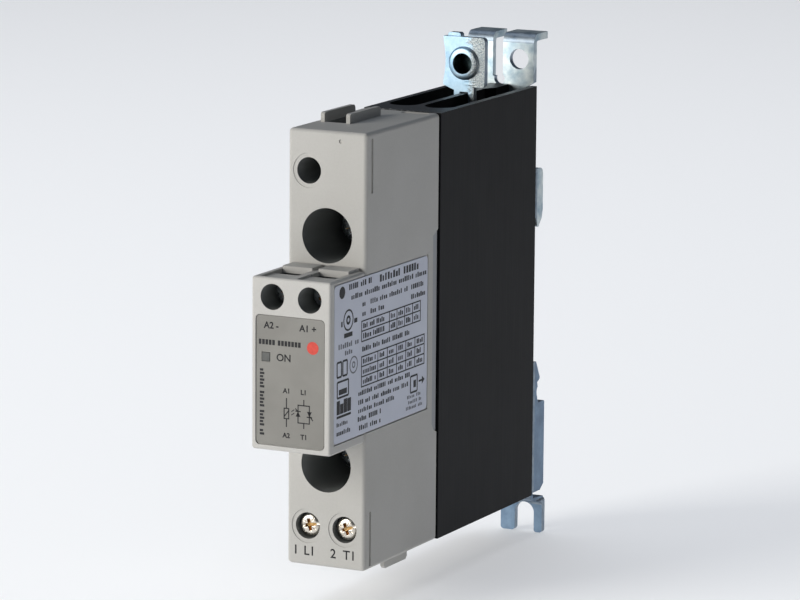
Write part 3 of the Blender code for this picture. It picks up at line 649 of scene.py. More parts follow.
def moulded_plastic(name, low, high, grain_depth, rough):
    """Matt moulding: a slow drift of tone, fine eroded grain and small rubbed marks."""
    made, tree, shader = new_material(name, Roughness=rough, Specular_IOR_Level=0.32)
    speck = mottle(tree, 2.2, 4.0, 0.7)
    tone = add(tree, "ShaderNodeMix", {"data_type": "FLOAT"}, {0: 0.4}, {2: mottle(tree, 0.05), 3: speck})
    two_tones(tree, shader, tone.outputs[0], low, high, 0.32, 0.68)
    patchy_gloss(tree, shader, speck, rough - 0.08, rough + 0.1)
    surface_bump(tree, shader, mottle(tree, 6.0, 2.0, 0.6), grain_depth)
    return made


# Glass-filled polyamide: warm light grey, matt, with grain a tenth of a millimetre across.
polyamide = moulded_plastic("glass_filled_polyamide_light_grey", "#B3B1AC", "#BEBCB8", 0.018, 0.55)
# The base frame is the same plastic with a darker pigment.
frame_plastic = moulded_plastic("polyamide_base_frame_mid_grey", "#9A9C9F", "#A6A8AB", 0.02, 0.5)

# The inner ring is only seen as a strip in the housing's notch, whose chamfered ends it follows.
ring_outline = [(HOUSING_REAR - 0.3, -21.8), (HOUSING_REAR - 1.8, -21.1), (HOUSING_REAR - 2.5, -19.9),
                (HOUSING_REAR - 2.5, 19.6), (HOUSING_REAR - 0.3, 20.8)]
ring = carve(prism_mesh(ring_outline, "YZ", -8.55, 8.55),
             [box_mesh((-6.7, HOUSING_REAR - 4, -17.8), (6.7, HOUSING_REAR + 1, 15.8))], bevel=0.25)
base_frame = mesh_object("base_frame_ring", ring, frame_plastic)
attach(base_frame, "relay_body")
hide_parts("base_frame")

front, rear = HOUSING_FRONT, HOUSING_REAR
outer = carve(box_mesh((-HALF, front, BOTTOM), (HALF, rear, TOP)), bevel=0.85, segments=5)
added, cutters = [], []
for x in (-6.55, -0.75):
    fin = [(front + 10.5, TOP - 1), (front + 24.3, TOP - 1), (front + 24.3, TOP + 1.1),
           *arc((front + 23.4, TOP + 1.1), 0.9, 0, 90, 5)[1:],
           *arc((front + 11.1, TOP + 1.4), 0.6, 90, 180, 4)]
    added.append(prism_mesh(fin, "YZ", x - 0.45, x + 0.45))
for x in (-6.9, -1.6, 1.6, 6.9):
    foot = [(front + 12.0, BOTTOM + 1), (front + 12.0, BOTTOM - 1.4), (front + 12.6, BOTTOM - 2.0),
            (front + 21.9, BOTTOM - 2.0), (front + 22.5, BOTTOM - 1.4), (front + 22.5, BOTTOM + 1)]
    added.append(prism_mesh(foot, "YZ", x - 0.45, x + 0.45))
for z in MODULE_SCREWS.values():
    cutters.append(rod_mesh(HOLE_RADIUS, (0, front - 1, z), (0, front + 17.9, z), 64))
    cutters.append(rod_mesh(2.4, (0, front + 10, z), (0, rear + 1, z), 24))
for x in POLES:
    side = math.copysign(1, x)
    z = POWER_SCREW_Z
    cutters.append(rod_mesh(2.75, (x, front - 1, z), (x, front + 3.3, z), 48))
    cutters.append(rod_mesh(2.3, (x, front + 2, z), (x, front + 5, z), 24))
    cutters.append(rod_mesh(3.6, (x, front - 0.5, z), (x, front + 0.16, z), 48))
    cutters.append(box_mesh((x - 3.4, front + 4.0, BOTTOM + 1.2), (x + 3.4, front + 21.3, BOTTOM + 14.2)))
    cutters.append(box_mesh((x - 2.3, front + 12.7, BOTTOM - 1), (x + 2.3, front + 20.9, BOTTOM + 2)))
    slot = x + 0.4 * side
    cutters.append(box_mesh((slot - 1.7, front + 19.6, BOTTOM + 12), (slot + 1.7, front + 22.0, -18.0)))
for radius, depth in ((2.7, 12), (3.55, 0.14)):
    cutters.append(rod_mesh(radius, (POLES[0], front - 1, SPARE_HOLE_Z),
                            (POLES[0], front + depth, SPARE_HOLE_Z), 48))
cutters.append(box_mesh((-6.0, front + 11.0, 31.0), (-1.4, front + 23.8, TOP + 1)))
cutters.append(box_mesh((-7.5, front + 22.6, -20.6), (7.5, rear + 1, 18.0)))
cutters.append(box_mesh((-6.5, front + 19.6, -20.6), (6.5, front + 23.5, 12.0)))
cutters.append(box_mesh((-6.0, front - 1, -15.0), (6.0, front + 21.0, 13.0)))
notch = [(rear + 1, -22.1), (rear, -22.1), (rear - 1.9, -21.3), (rear - 2.9, -19.9), (rear - 2.9, 19.8),
         (rear, 21.2), (rear + 1, 21.2)]
cutters.append(prism_mesh(notch, "YZ", -HALF - 1, HALF + 1))
cutters.append(box_mesh((8.6, front - 1, -16.3), (HALF + 1, front + 28.4, 16.35)))
for z0, z1 in ((32.6, 43.7), (-44.2, -32.9)):
    cutters.append(box_mesh((HALF - 0.5, front + 2.1, z0), (HALF + 1, front + 2.85, z1)))
    cutters.append(box_mesh((-HALF - 1, front + 2.1, z0), (-HALF + 0.5, front + 2.85, z1)))
ledge = rounded_rect((1.0, rear - 3.0), (7.2, rear - 1.3), 0.84)
cutters.append(prism_mesh(ledge, "XY", TOP - 1.1, TOP + 1))
for x, z in ((3.0, 43.0), (0.9, -26.6)):
    cutters.append(rod_mesh(0.42, (x, front - 0.5, z), (x, front + 0.22, z), 16))
housing_mesh = carve(outer, cutters, added, bevel=0.14, segments=2, angle=50)
# Inside the bores and pockets the plastic is smoother and painted a darker grey: the darker grey is painted
# shade.
bore_painted_shade = moulded_plastic("polyamide_with_painted_bore_shade", "#767877", "#828483", 0.012, 0.42)


def paint_bore_shade(mesh, bores, low, high):
    """Gives slot 1, the painted bore shade, to faces inside the bores (x, z, radius, depth), and to all
    between low and high.
    """
    for face in mesh.polygons:
        x, y, z = face.center / MM
        inside = all(a < b < c for a, b, c in zip(low, (x, y, z), high))
        in_bore = any(math.hypot(x - bore_x, z - bore_z) < radius + 0.02 and y > depth
                      for bore_x, bore_z, radius, depth in bores)
        if inside or in_bore:
            face.material_index = 1


housing = mesh_object("housing_moulding", housing_mesh, polyamide, bore_painted_shade)
bores = [(0, z, HOLE_RADIUS, front + 0.3) for z in MODULE_SCREWS.values()]
bores.append((POLES[0], SPARE_HOLE_Z, 2.7, front + 0.4))
bores += [(x, POWER_SCREW_Z, 2.75, front + 0.5) for x in POLES]
# The insides of the bores and pockets get the painted shade.
paint_bore_shade(housing_mesh, bores, (-8.2, front + 3.0, BOTTOM + 0.9), (8.2, rear - 0.6, TOP - 0.9))
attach(housing, "relay_body")
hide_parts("housing")

# --- Control cover ----------------------------------------------------------------------------------
# The projecting block is a second moulding of the same polyamide, snapped into the housing's front.
# It has two driver holes, two wire pockets open at the top, and flat recesses for its labels.
front, back = COVER_FRONT, HOUSING_FRONT - 0.3
cover_plastic = moulded_plastic("polyamide_cover_light_grey", "#B8B6B2", "#C3C1BD", 0.018, 0.52)
WINDOW = (-5.7, 0.9)
CONTROL_SCREW_Z = 13.2
cover_body = carve(box_mesh((-HALF, front, COVER_BOTTOM), (HALF, back, COVER_TOP)), bevel=0.55, segments=4)
cutters, added = [], []
cutters.append(box_mesh((-7.8, front + 1.3, COVER_BOTTOM + 1.2), (7.8, back + 1, 5.0)))
for x in POLES:
    z = CONTROL_SCREW_Z
    cutters.append(rod_mesh(2.65, (x, front - 1, z), (x, front + 8.0, z), 48))
    cutters.append(box_mesh((x - 3.3, front + 7.1, 9.8), (x + 3.3, front + 12.9, 16.2)))
    cutters.append(box_mesh((x - 3.3, front + 7.2, 15), (x + 3.3, front + 10.5, 19)))
    cutters.append(box_mesh((x - 1.9, front + 9.4, 1.5), (x + 1.9, front + 10.7, 11)))
    wall = math.copysign(1, x)
    low_x, high_x = sorted((0.72 * wall, 7.45 * wall))
    cutters.append(box_mesh((low_x, front + 0.9, COVER_TOP - 0.5), (high_x, front + 7.4, COVER_TOP + 1)))
    step = [(front + 10.5, COVER_TOP - 0.8), (front + 10.5, COVER_TOP + 0.5),
            (front + 10.65, COVER_TOP + 0.6), (back, COVER_TOP + 0.6), (back, COVER_TOP - 0.8)]
    added.append(prism_mesh(step, "YZ", low_x, high_x))
recess = rounded_rect((-8.0, -17.1), (7.6, 9.5), 0.95)
cutters.append(prism_mesh(recess, "XZ", front - 1, front + 0.4))
cutters.append(box_mesh((8.6, front + 1.6, -16.3), (HALF + 1, back + 1, 16.35)))
cutters.append(box_mesh((WINDOW[0] - 1.0, front - 1, WINDOW[1] - 1.0),
                        (WINDOW[0] + 1.0, front + 2, WINDOW[1] + 1.0)))
cover_mesh = carve(cover_body, cutters, added, bevel=0.13, segments=2, angle=50)
# The driver holes and pockets inside the cover get the same painted shade.
cover = mesh_object("control_cover_moulding", cover_mesh, cover_plastic, bore_painted_shade)
paint_bore_shade(cover_mesh, [(x, CONTROL_SCREW_Z, 2.65, front + 0.3) for x in POLES],
             (-7.9, front + 1.0, COVER_BOTTOM + 0.9), (7.9, back + 0.5, COVER_TOP - 0.7))
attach(cover, "relay_body")
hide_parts("control_cover")

# --- Front label ------------------------------------------------------------------------------------
# A printed polyester film, warm grey, bedded in the cover's shallow recess. It carries the terminal
# marks, the lamp's window, a connection diagram and plain blocks where a maker would put its words.


def label_film(name, low, high, rough, specular, cloud_per_mm, grain_per_mm):
    """Printed polyester film: an even tone that hardly drifts, under a faintly pebbled lacquer."""
    made, tree, shader = new_material(name, Roughness=rough, Specular_IOR_Level=specular)
    two_tones(tree, shader, mottle(tree, cloud_per_mm), low, high)
    surface_bump(tree, shader, mottle(tree, grain_per_mm, 2.0), 0.006)
    return made


def print_ink(name, low, high, rough, specular=0.5):
    """Screen-print ink: opaque and matt, a little thinner in places."""
    made, tree, shader = new_material(name, Roughness=rough, Specular_IOR_Level=specular)
    two_tones(tree, shader, mottle(tree, 1.6), low, high)
    return made


film = label_film("polyester_label_film_warm_grey", "#817F7A", "#8A8883", 0.42, 0.35, 0.12, 3.5)
ink = print_ink("black_screen_print_ink", "#202023", "#2C2C2F", 0.5, 0.25)
grey_ink = print_ink("grey_screen_print_ink", "#5C5E66", "#70727A", 0.5)
red_ink = print_ink("red_screen_print_ink", "#C73424", "#D53E2C", 0.45)

label_face = COVER_FRONT + 0.16
outline = rounded_rect((-7.85, -16.95), (7.45, 9.35), 0.85, 8)
window_cut = prism_mesh([(WINDOW[0] - 0.95, WINDOW[1] - 0.95), (WINDOW[0] + 0.95, WINDOW[1] - 0.95),
                         (WINDOW[0] + 0.95, WINDOW[1] + 0.95), (WINDOW[0] - 0.95, WINDOW[1] + 0.95)],
                        "XZ", COVER_FRONT - 1, COVER_FRONT + 1)
label_mesh = carve(prism_mesh(outline, "XZ", label_face, COVER_FRONT + 0.38), [window_cut],
                   bevel=0.04, segments=1)
front_label = mesh_object("front_label_film", label_mesh, film)
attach(front_label, "relay_body")
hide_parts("front_label")


class Print:
    """A print of separate flat marks, each `lift` thick, on a face that runs along two axes."""

    def __init__(self, origin, across, up, out, lift=0.02):
        self.origin, self.across, self.up, self.out = (Vector(v) for v in (origin, across, up, out))
        self.lift = lift
        self.work = bmesh.new()

    def point(self, u, v, height):
        return (self.origin + self.across * u + self.up * v + self.out * height) * MM

    def patch(self, outline):
        """One closed mark with the given (u, v) outline."""
        low = [self.work.verts.new(self.point(u, v, -0.01)) for u, v in outline]
        high = [self.work.verts.new(self.point(u, v, self.lift)) for u, v in outline]
        self.work.faces.new(low)
        self.work.faces.new(high)
        for i in range(len(low)):
            j = (i + 1) % len(low)
            self.work.faces.new((low[i], low[j], high[j], high[i]))

    def bar(self, u0, v0, u1, v1):
        self.patch([(u0, v0), (u1, v0), (u1, v1), (u0, v1)])

    def line(self, start, end, width):
        """A straight stroke with square ends."""
        along = Vector(end) - Vector(start)
        side = Vector((-along.y, along.x)).normalized() * width / 2
        self.patch([tuple(Vector(start) + side), tuple(Vector(end) + side), tuple(Vector(end) - side),
                    tuple(Vector(start) - side)])

    def ring(self, centre, outer, width):
        """A round stroke, as short overlapping strokes."""
        spots = arc(centre, outer - width / 2, 0, 360, 32)
        for near, far in zip(spots, spots[1:]):
            self.line(near, far, width)

    def words(self, text, at, height, bold):
        """A text, filled and given the print's thickness; `at` is its left end on the base line."""
        curve = bpy.data.curves.new("print_text", "FONT")
        curve.body = text
        curve.size = height / 0.72
        curve.offset = bold
        curve.resolution_u = 4
        source = bpy.data.objects.new("print_text", curve)
        bpy.context.scene.collection.objects.link(source)
        bpy.context.view_layer.update()
        flat = bpy.data.meshes.new_from_object(source.evaluated_get(bpy.context.evaluated_depsgraph_get()))
        bpy.data.objects.remove(source)
        letters = bmesh.new()
        letters.from_mesh(flat)
        bmesh.ops.remove_doubles(letters, verts=letters.verts, dist=0.0001)
        grown = bmesh.ops.extrude_face_region(letters, geom=letters.faces[:])["geom"]
        tops = {v for v in grown if isinstance(v, bmesh.types.BMVert)}
        for vert in letters.verts:
            level = self.lift if vert in tops else -0.01
            vert.co = self.point(at[0] + vert.co.x, at[1] + vert.co.y, level)
        letters.to_mesh(flat)
        letters.free()
        self.work.from_mesh(flat)

    def finish(self, name, material, slot):
        """Makes the print one object that rides the relay's body."""
        piece = mesh_object(name, bm_mesh(self.work), material)
        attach(piece, "relay_body")


def front_print():
    return Print((0, label_face, 0), (1, 0, 0), (0, 0, 1), (0, -1, 0))


def bar_tree():
    """Bars on points: each point's bar_size gives two sides, and the inputs give the thin one."""
    tree = bpy.data.node_groups.new("printed_bars", "GeometryNodeTree")
    for name, kind in (("Points", "NodeSocketGeometry"), ("Thin axis", "NodeSocketVector"),
                       ("Thickness", "NodeSocketFloat"), ("Ink", "NodeSocketMaterial")):
        tree.interface.new_socket(name, in_out="INPUT", socket_type=kind)
    tree.interface.new_socket("Bars", in_out="OUTPUT", socket_type="NodeSocketGeometry")
    given = add(tree, "NodeGroupInput").outputs
    size = add(tree, "GeometryNodeInputNamedAttribute", {"data_type": "FLOAT_VECTOR"}, {"Name": "bar_size"})
    thin = add(tree, "ShaderNodeVectorMath", {"operation": "SCALE"}, links={0: given["Thin axis"],
                                                                           "Scale": given["Thickness"]})
    whole = add(tree, "ShaderNodeVectorMath", links={0: size.outputs["Attribute"], 1: thin.outputs[0]})
    cube = add(tree, "GeometryNodeMeshCube", values={"Size": (1, 1, 1)})
    spread = add(tree, "GeometryNodeInstanceOnPoints", links={
        "Points": given["Points"], "Instance": cube.outputs["Mesh"], "Scale": whole.outputs[0]})
    real = add(tree, "GeometryNodeRealizeInstances", links={0: spread.outputs[0]})
    inked = add(tree, "GeometryNodeSetMaterial",
                links={"Geometry": real.outputs[0], "Material": given["Ink"]})
    add(tree, "NodeGroupOutput", links={0: inked.outputs[0]})
    return tree


def print_bars(name, tree, bars, place, thin_axis, material):
    """Bars (u0, v0, u1, v1) on a face; place turns (u, v) into a point in millimetres."""
    mesh = bpy.data.meshes.new(name)
    mesh.from_pydata([Vector(place((u0 + u1) / 2, (v0 + v1) / 2)) * MM for u0, v0, u1, v1 in bars], [], [])
    sizes = mesh.attributes.new("bar_size", "FLOAT_VECTOR", "POINT")
    origin = Vector(place(0, 0))
    for spot, (u0, v0, u1, v1) in zip(sizes.data, bars):
        spot.vector = (Vector(place(u1 - u0, v1 - v0)) - origin) * MM
    source = bpy.data.objects.new(name, mesh)
    bpy.context.scene.collection.objects.link(source)
    nodes = source.modifiers.new("bars", "NODES")
    nodes.node_group = tree
    named = {item.name: item.identifier for item in tree.interface.items_tree if item.in_out == "INPUT"}
    nodes[named["Thin axis"]] = thin_axis
    nodes[named["Thickness"]] = 0.04 * MM
    nodes[named["Ink"]] = material
    flat = bpy.data.meshes.new_from_object(source.evaluated_get(bpy.context.evaluated_depsgraph_get()))
    bpy.data.objects.remove(source)
    piece = mesh_object(name, flat, material)
    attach(piece, "relay_body")


marks = front_print()
marks.words("A2 -", (-6.15, 6.75), 1.35, 0.04)
marks.words("A1 +", (1.85, 6.75), 1.35, 0.04)
marks.words("ON", (-3.35, 0.3), 1.5, 0.03)
marks.words("A1", (-1.8, -6.1), 1.0, 0.04)
marks.words("L1", (2.15, -6.1), 1.0, 0.04)
marks.words("A2", (-1.85, -15.2), 1.0, 0.04)
marks.words("T1", (2.15, -15.2), 1.0, 0.04)
# The input's box and the pair of opposed thyristors, as on any relay of this kind.
stroke = 0.22
column, left, right, middle, centre = -1.02, 1.6, 4.15, 2.9, -10.05
marks.line((column, -7.1), (column, -9.2), stroke)
marks.line((column, -11.3), (column, -13.0), stroke)
box_left, box_right = column - 0.52, column + 0.52
for start, end in (((box_left, -9.2), (box_right, -9.2)), ((box_right, -9.1), (box_right, -11.4)),
                   ((box_right, -11.3), (box_left, -11.3)), ((box_left, -11.4), (box_left, -9.1)),
                   ((box_left, -10.9), (box_right, -9.6))):
    marks.line(start, end, stroke)
marks.line((middle, -7.1), (middle, -8.3), stroke)
marks.line((middle, -11.9), (middle, -13.0), stroke)
for height in (-8.3, -11.9):
    marks.line((left - stroke / 2, height), (right + stroke / 2, height), stroke)
for x, way in ((left, 1), (right, -1)):
    marks.line((x, -8.3), (x, -11.9), stroke)
    marks.patch([(x - 0.55, centre - 0.6 * way), (x + 0.55, centre - 0.6 * way), (x, centre + 0.45 * way)])
    marks.line((x - 0.6, centre + 0.5 * way), (x + 0.6, centre + 0.5 * way), stroke)
marks.line((right + 0.15, -10.4), (right + 0.8, -11.2), stroke)
marks.line((left - 0.6, -9.0), (left - 0.1, -9.6), stroke)
for height in (-9.75, -10.45):
    marks.line((0.1, height), (0.75, height + 0.45), 0.17)
marks.finish("front_label_print", ink, "front_label")
badge = front_print()
badge.patch(arc((4.85, 3.55), 1.3, 0, 360, 40)[:-1])
badge.finish("front_label_dot", red_ink, "front_label")

# Plain blocks: the maker's words across the label and its description up the left edge.
printed_bars = bar_tree()
bars = []
cursor = -7.3
for letters in (5, 7):
    for _ in range(letters):
        bars.append((cursor, 3.4, cursor + 0.56, 4.45))
        cursor += 0.76
    cursor += 0.5
cursor = -15.1
for letters in (2, 5, 5, 6):
    for count in range(letters):
        bars.append((-7.05, cursor, -6.05 - 0.25 * (count % 2), cursor + 0.46))
        cursor += 0.68
    cursor += 0.5
print_bars("front_label_blocks", printed_bars, bars, lambda u, v: (u, label_face - 0.01, v), (0, 1, 0), ink)

# The lamp's window: smoky polycarbonate over the cover's well, seen as a dull dark square.
smoky, tree, shader = new_material("smoked_polycarbonate", Roughness=0.5, Specular_IOR_Level=0.25)
two_tones(tree, shader, mottle(tree, 1.0, 2.0), "#5A5B5A", "#646563")
pane = carve(box_mesh((WINDOW[0] - 0.88, COVER_FRONT + 0.1, WINDOW[1] - 0.88),
                      (WINDOW[0] + 0.88, COVER_FRONT + 1.7, WINDOW[1] + 0.88)), bevel=0.08, segments=2)
window = mesh_object("lamp_window", pane, smoky)
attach(window, "relay_body")
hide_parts("led_window")

housing_marks = Print((0, HOUSING_FRONT, 0), (1, 0, 0), (0, 0, 1), (0, -1, 0))
for text, start in (("1", -7.55), ("L1", -5.05), ("2", 1.05), ("T1", 3.95)):
    housing_marks.words(text, (start, BOTTOM + 2.15), 1.95, 0.03)
housing_marks.finish("terminal_marks_print", ink, "housing")

# --- Rating label -------------------------------------------------------------------------------
# One silver-grey polyester film laid across the joint between cover and housing. Its tables, marks and
# lines of small print are plain bars, rings and rules.
silver_film = label_film("polyester_label_film_silver_grey", "#C3C7D5", "#CDD1DE", 0.36, 0.4, 0.08, 2.5)
side_face = 8.86
label_low, label_high = (-94.2, -16.05), (-52.4, 16.1)
sheet = carve(prism_mesh(rounded_rect(label_low, label_high, 0.9, 8), "YZ", 8.66, side_face),
              bevel=0.04, segments=1)
rating = mesh_object("rating_label_film", sheet, silver_film)
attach(rating, "relay_body")
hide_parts("rating_label")


def letter_bars(u, v, height, length, rng, pitch=0.78):
    """One line of small print, as a bar for each letter, with gaps between its words."""
    bars = []
    spot, left_in_word = u, rng.randint(3, 8)
    while spot + pitch * 0.6 < u + length:
        if left_in_word == 0:
            left_in_word = rng.randint(3, 8)
        else:
            tall = height * rng.choice((1.0, 1.0, 0.75, 0.75))
            bars.append((spot, v, spot + pitch * rng.choice((0.5, 0.62, 0.7)), v + tall))
            left_in_word -= 1
        spot += pitch
    return bars


def side_print():
    return Print((side_face, 0, 0), (0, 1, 0), (0, 0, 1), (1, 0, 0))


rng = random.Random(7)
bars = []
for u, v, height, length, pitch in (
        (-87.9, 14.4, 1.15, 10.8, 0.86), (-74.3, 13.95, 1.5, 18.2, 1.2), (-86.9, 12.3, 1.05, 33.8, 0.85),
        (-82.0, 10.15, 1.0, 2.0, 0.85), (-78.4, 10.15, 1.0, 16.8, 0.85), (-60.0, 10.15, 1.0, 5.8, 0.85),
        (-82.0, 8.15, 1.0, 2.0, 0.85), (-78.4, 8.15, 1.0, 6.6, 0.9), (-60.0, 8.1, 1.0, 6.5, 0.85),
        (-82.0, 0.9, 1.0, 21.8, 0.8), (-83.6, -7.95, 0.95, 23.4, 0.78), (-83.6, -9.8, 0.95, 22.8, 0.78),
        (-83.6, -11.5, 0.95, 17.2, 0.78), (-83.8, -13.25, 1.0, 11.1, 0.82), (-83.2, -15.1, 1.0, 10.3, 0.82),
        (-93.1, -12.65, 0.8, 5.3, 0.72), (-93.1, -14.5, 0.95, 6.8, 0.78)):
    bars += letter_bars(u, v, height, length, rng, pitch)
# Two tables: rules, and short entries in their cells.
rule = 0.26
for columns, rows in (((-82.3, -69.9, -66.45, -62.95, -59.3, -55.7), (7.15, 5.1, 3.0)),
                      ((-82.3, -75.0, -70.75, -66.5, -62.3, -58.1, -53.8), (-0.15, -2.15, -4.25, -6.3))):
    for v in rows:
        bars.append((columns[0] - rule / 2, v - rule / 2, columns[-1] + rule / 2, v + rule / 2))
    for u in columns:
        bars.append((u - rule / 2, rows[-1], u + rule / 2, rows[0]))
    for high, low in zip(rows, rows[1:]):
        for left_edge, right_edge in zip(columns, columns[1:]):
            first = left_edge == columns[0]
            length = (right_edge - left_edge) * (0.86 if first else 0.62)
            start = left_edge + (0.7 if first else (right_edge - left_edge - length) / 2)
            bars += letter_bars(start, low + 0.52, high - low - 1.0, length, rng, 0.74)
bars += [(-93.1, -10.2, -91.75, -7.4), (-91.6, -10.2, -90.2, -8.2), (-90.05, -10.2, -88.6, -7.4),
         (-88.45, -10.2, -86.9, -7.5), (-93.1, -11.0, -86.9, -10.5), (-90.0, 4.95, -86.4, 5.85),
         (-91.3, 7.4, -90.75, 8.5), (-85.6, 7.4, -84.3, 8.3), (-58.6, -10.6, -57.5, -9.1),
         (-56.2, -9.85, -54.6, -9.45)]
print_bars("rating_label_rules_and_bars", printed_bars, bars, lambda u, v: (side_face + 0.01, u, v),
           (1, 0, 0), ink)
grey_bars = letter_bars(-92.4, 2.95, 1.05, 9.4, rng, 0.9) + letter_bars(-89.6, 1.4, 0.95, 3.6, rng, 0.85)
for u, v, length in ((-61.5, -12.6, 6.4), (-61.0, -13.75, 6.6), (-62.0, -14.9, 8.2)):
    grey_bars += letter_bars(u, v, 0.7, length, rng, 0.7)
print_bars("rating_label_grey_bars", printed_bars, grey_bars, lambda u, v: (side_face + 0.01, u, v),
           (1, 0, 0), grey_ink)

# Plain rings, squares and a dot stand where approval marks would be.
shapes = side_print()
shapes.patch(arc((-90.9, 14.35), 1.25, 0, 360, 32)[:-1])
shapes.ring((-88.15, 8.4), 2.2, 0.36)
shapes.ring((-88.15, 8.4), 0.95, 0.5)
for low_u, low_v, high_u, high_v, width in (
        (-93.0, -2.6, -91.1, 0.4, 0.42), (-90.5, -2.6, -88.6, 0.4, 0.42),
        (-92.9, -6.8, -88.0, -3.6, 0.42), (-60.0, -11.5, -56.9, -8.1, 0.4)):
    corners = [(low_u, low_v), (high_u, low_v), (high_u, high_v), (low_u, high_v)]
    for start, end in zip(corners, corners[1:] + corners[:1]):
        shapes.line(start, end, width)
shapes.bar(-92.2, -6.3, -88.7, -5.2)
shapes.patch([(-54.7, -10.5), (-53.5, -9.65), (-54.7, -8.8)])
shapes.finish("rating_label_marks", ink, "rating_label")
grey_ring = side_print()
grey_ring.ring((-85.75, -1.1), 1.8, 0.3)
grey_ring.ring((-85.75, -1.1), 0.7, 0.3)
grey_ring.finish("rating_label_grey_ring", grey_ink, "rating_label")

# --- Power terminal screws --------------------------------------------------------------------------
# Combination-head screws of nickel-plated steel: a cross recess, a slot right across it and four short
# ticks between the arms. Each turns in place and draws its cage clamp up under the wire.
nickel, tree, shader = new_material("nickel_plated_steel", Metallic=1.0, Roughness=0.24)
cloud = mottle(tree, 0.9, 4.0, 0.6)
two_tones(tree, shader, cloud, "#BDB3A4", "#E4DFD6", 0.32, 0.66)
patchy_gloss(tree, shader, cloud, 0.16, 0.36)
surface_bump(tree, shader, mottle(tree, 5.0, 2.0), 0.01)

# The recess keeps more of the yellow passivation than the rubbed head, so it looks like old brass.
yellowed, tree, shader = new_material("yellow_passivated_recess", Metallic=1.0, Roughness=0.34)
two_tones(tree, shader, mottle(tree, 1.2), "#A5814F", "#D2B07C")
surface_bump(tree, shader, mottle(tree, 4.0, 2.0), 0.02)


def combination_head(at, turn, head_radius, head_top, scale):
    """Cutters for a cross recess, a slot and four ticks, turned by `turn` degrees about the Y axis."""
    tools = []
    for angle in (0, 90):
        tools.append(prism_mesh([(-1.25 * scale, -0.36 * scale), (1.25 * scale, -0.36 * scale),
                                 (1.25 * scale, 0.36 * scale), (-1.25 * scale, 0.36 * scale)],
                                "XZ", head_top - 1, head_top + 1.15 * scale))
        tools[-1].transform(Matrix.Rotation(math.radians(angle), 4, "Y"))
    tools.append(rod_mesh(0.62 * scale, (0, head_top - 1, 0), (0, head_top + 1.2 * scale, 0), 24))
    tools.append(box_mesh((-head_radius - 1, head_top - 1, -0.24 * scale),
                          (head_radius + 1, head_top + 0.62 * scale, 0.24 * scale)))
    for angle in (45, 135, 225, 315):
        tick = box_mesh((0.75 * scale, head_top - 1, -0.09 * scale),
                        (1.7 * scale, head_top + 0.2 * scale, 0.09 * scale))
        tick.transform(Matrix.Rotation(math.radians(angle), 4, "Y"))
        tools.append(tick)
    whole = Matrix.Translation(Vector(at) * MM) @ Matrix.Rotation(math.radians(turn), 4, "Y")
    for tool in tools:
        tool.transform(whole)
    return tools


def tint_recess(mesh, at, radius, head_top):
    """Paints the faces inside the recess, near the axis and below the head's top, with slot 1."""
    for face in mesh.polygons:
        off = Vector((face.center.x - at[0] * MM, face.center.z - at[2] * MM)).length
        if off < radius * MM and head_top + 0.22 < face.center.y / MM < head_top + 1.3:
            face.material_index = 1


for side, x, turn in (("left", POLES[0], -12), ("right", POLES[1], -20)):
    at = (x, HOUSING_FRONT, POWER_SCREW_Z)
    profile = [(0, 0.95), (1.5, 0.97), (2.0, 1.08), (2.3, 1.35), (2.36, 1.6), (2.36, 3.0), (1.9, 3.0)]
    for turn_index in range(8):
        profile += [(1.9, 3.2 + turn_index * 0.85), (1.62, 3.62 + turn_index * 0.85)]
    profile += [(1.9, 10.1), (1.5, 10.8), (0, 10.8)]
    tools = combination_head((x, 0, POWER_SCREW_Z), turn, 2.36, HOUSING_FRONT + 0.95, 1.0)
    screw_mesh = carve(lathe_mesh(profile, at, 56), tools, bevel=0.05, segments=2, angle=45)
    screw = mesh_object("power_screw_head_" + side, screw_mesh, nickel, yellowed)
    tint_recess(screw_mesh, at, 1.32, HOUSING_FRONT + 0.95)
    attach(screw, "power_screw_" + side)
    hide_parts("power_screw_" + side)

# --- Control terminal screws ------------------------------------------------------------------------
# The same head at M2.5, eight millimetres down the cover's driver holes, in bright zinc.
CONTROL_HEAD_Y = cad_corners("control_screw_left")[0][1]
for side, x, turn in (("left", POLES[0], 20), ("right", POLES[1], 40)):
    at = (x, CONTROL_HEAD_Y, CONTROL_SCREW_Z)
    profile = [(0, 0), (1.6, 0.03), (2.05, 0.2), (2.2, 0.5), (2.2, 1.3), (1.2, 1.3)]
    for turn_index in range(4):
        profile += [(1.2, 1.4 + turn_index * 0.55), (1.0, 1.68 + turn_index * 0.55)]
    profile += [(1.2, 3.6), (1.0, 3.9), (0, 3.9)]
    tools = combination_head((x, 0, CONTROL_SCREW_Z), turn, 2.2, CONTROL_HEAD_Y, 0.8)
    screw_mesh = carve(lathe_mesh(profile, at, 48), tools, bevel=0.04, segments=1, angle=45)
    screw = mesh_object("control_screw_head_" + side, screw_mesh, bright_zinc, yellowed)
    tint_recess(screw_mesh, at, 1.06, CONTROL_HEAD_Y)
    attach(screw, "control_screw_" + side)
    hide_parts("control_screw_" + side)

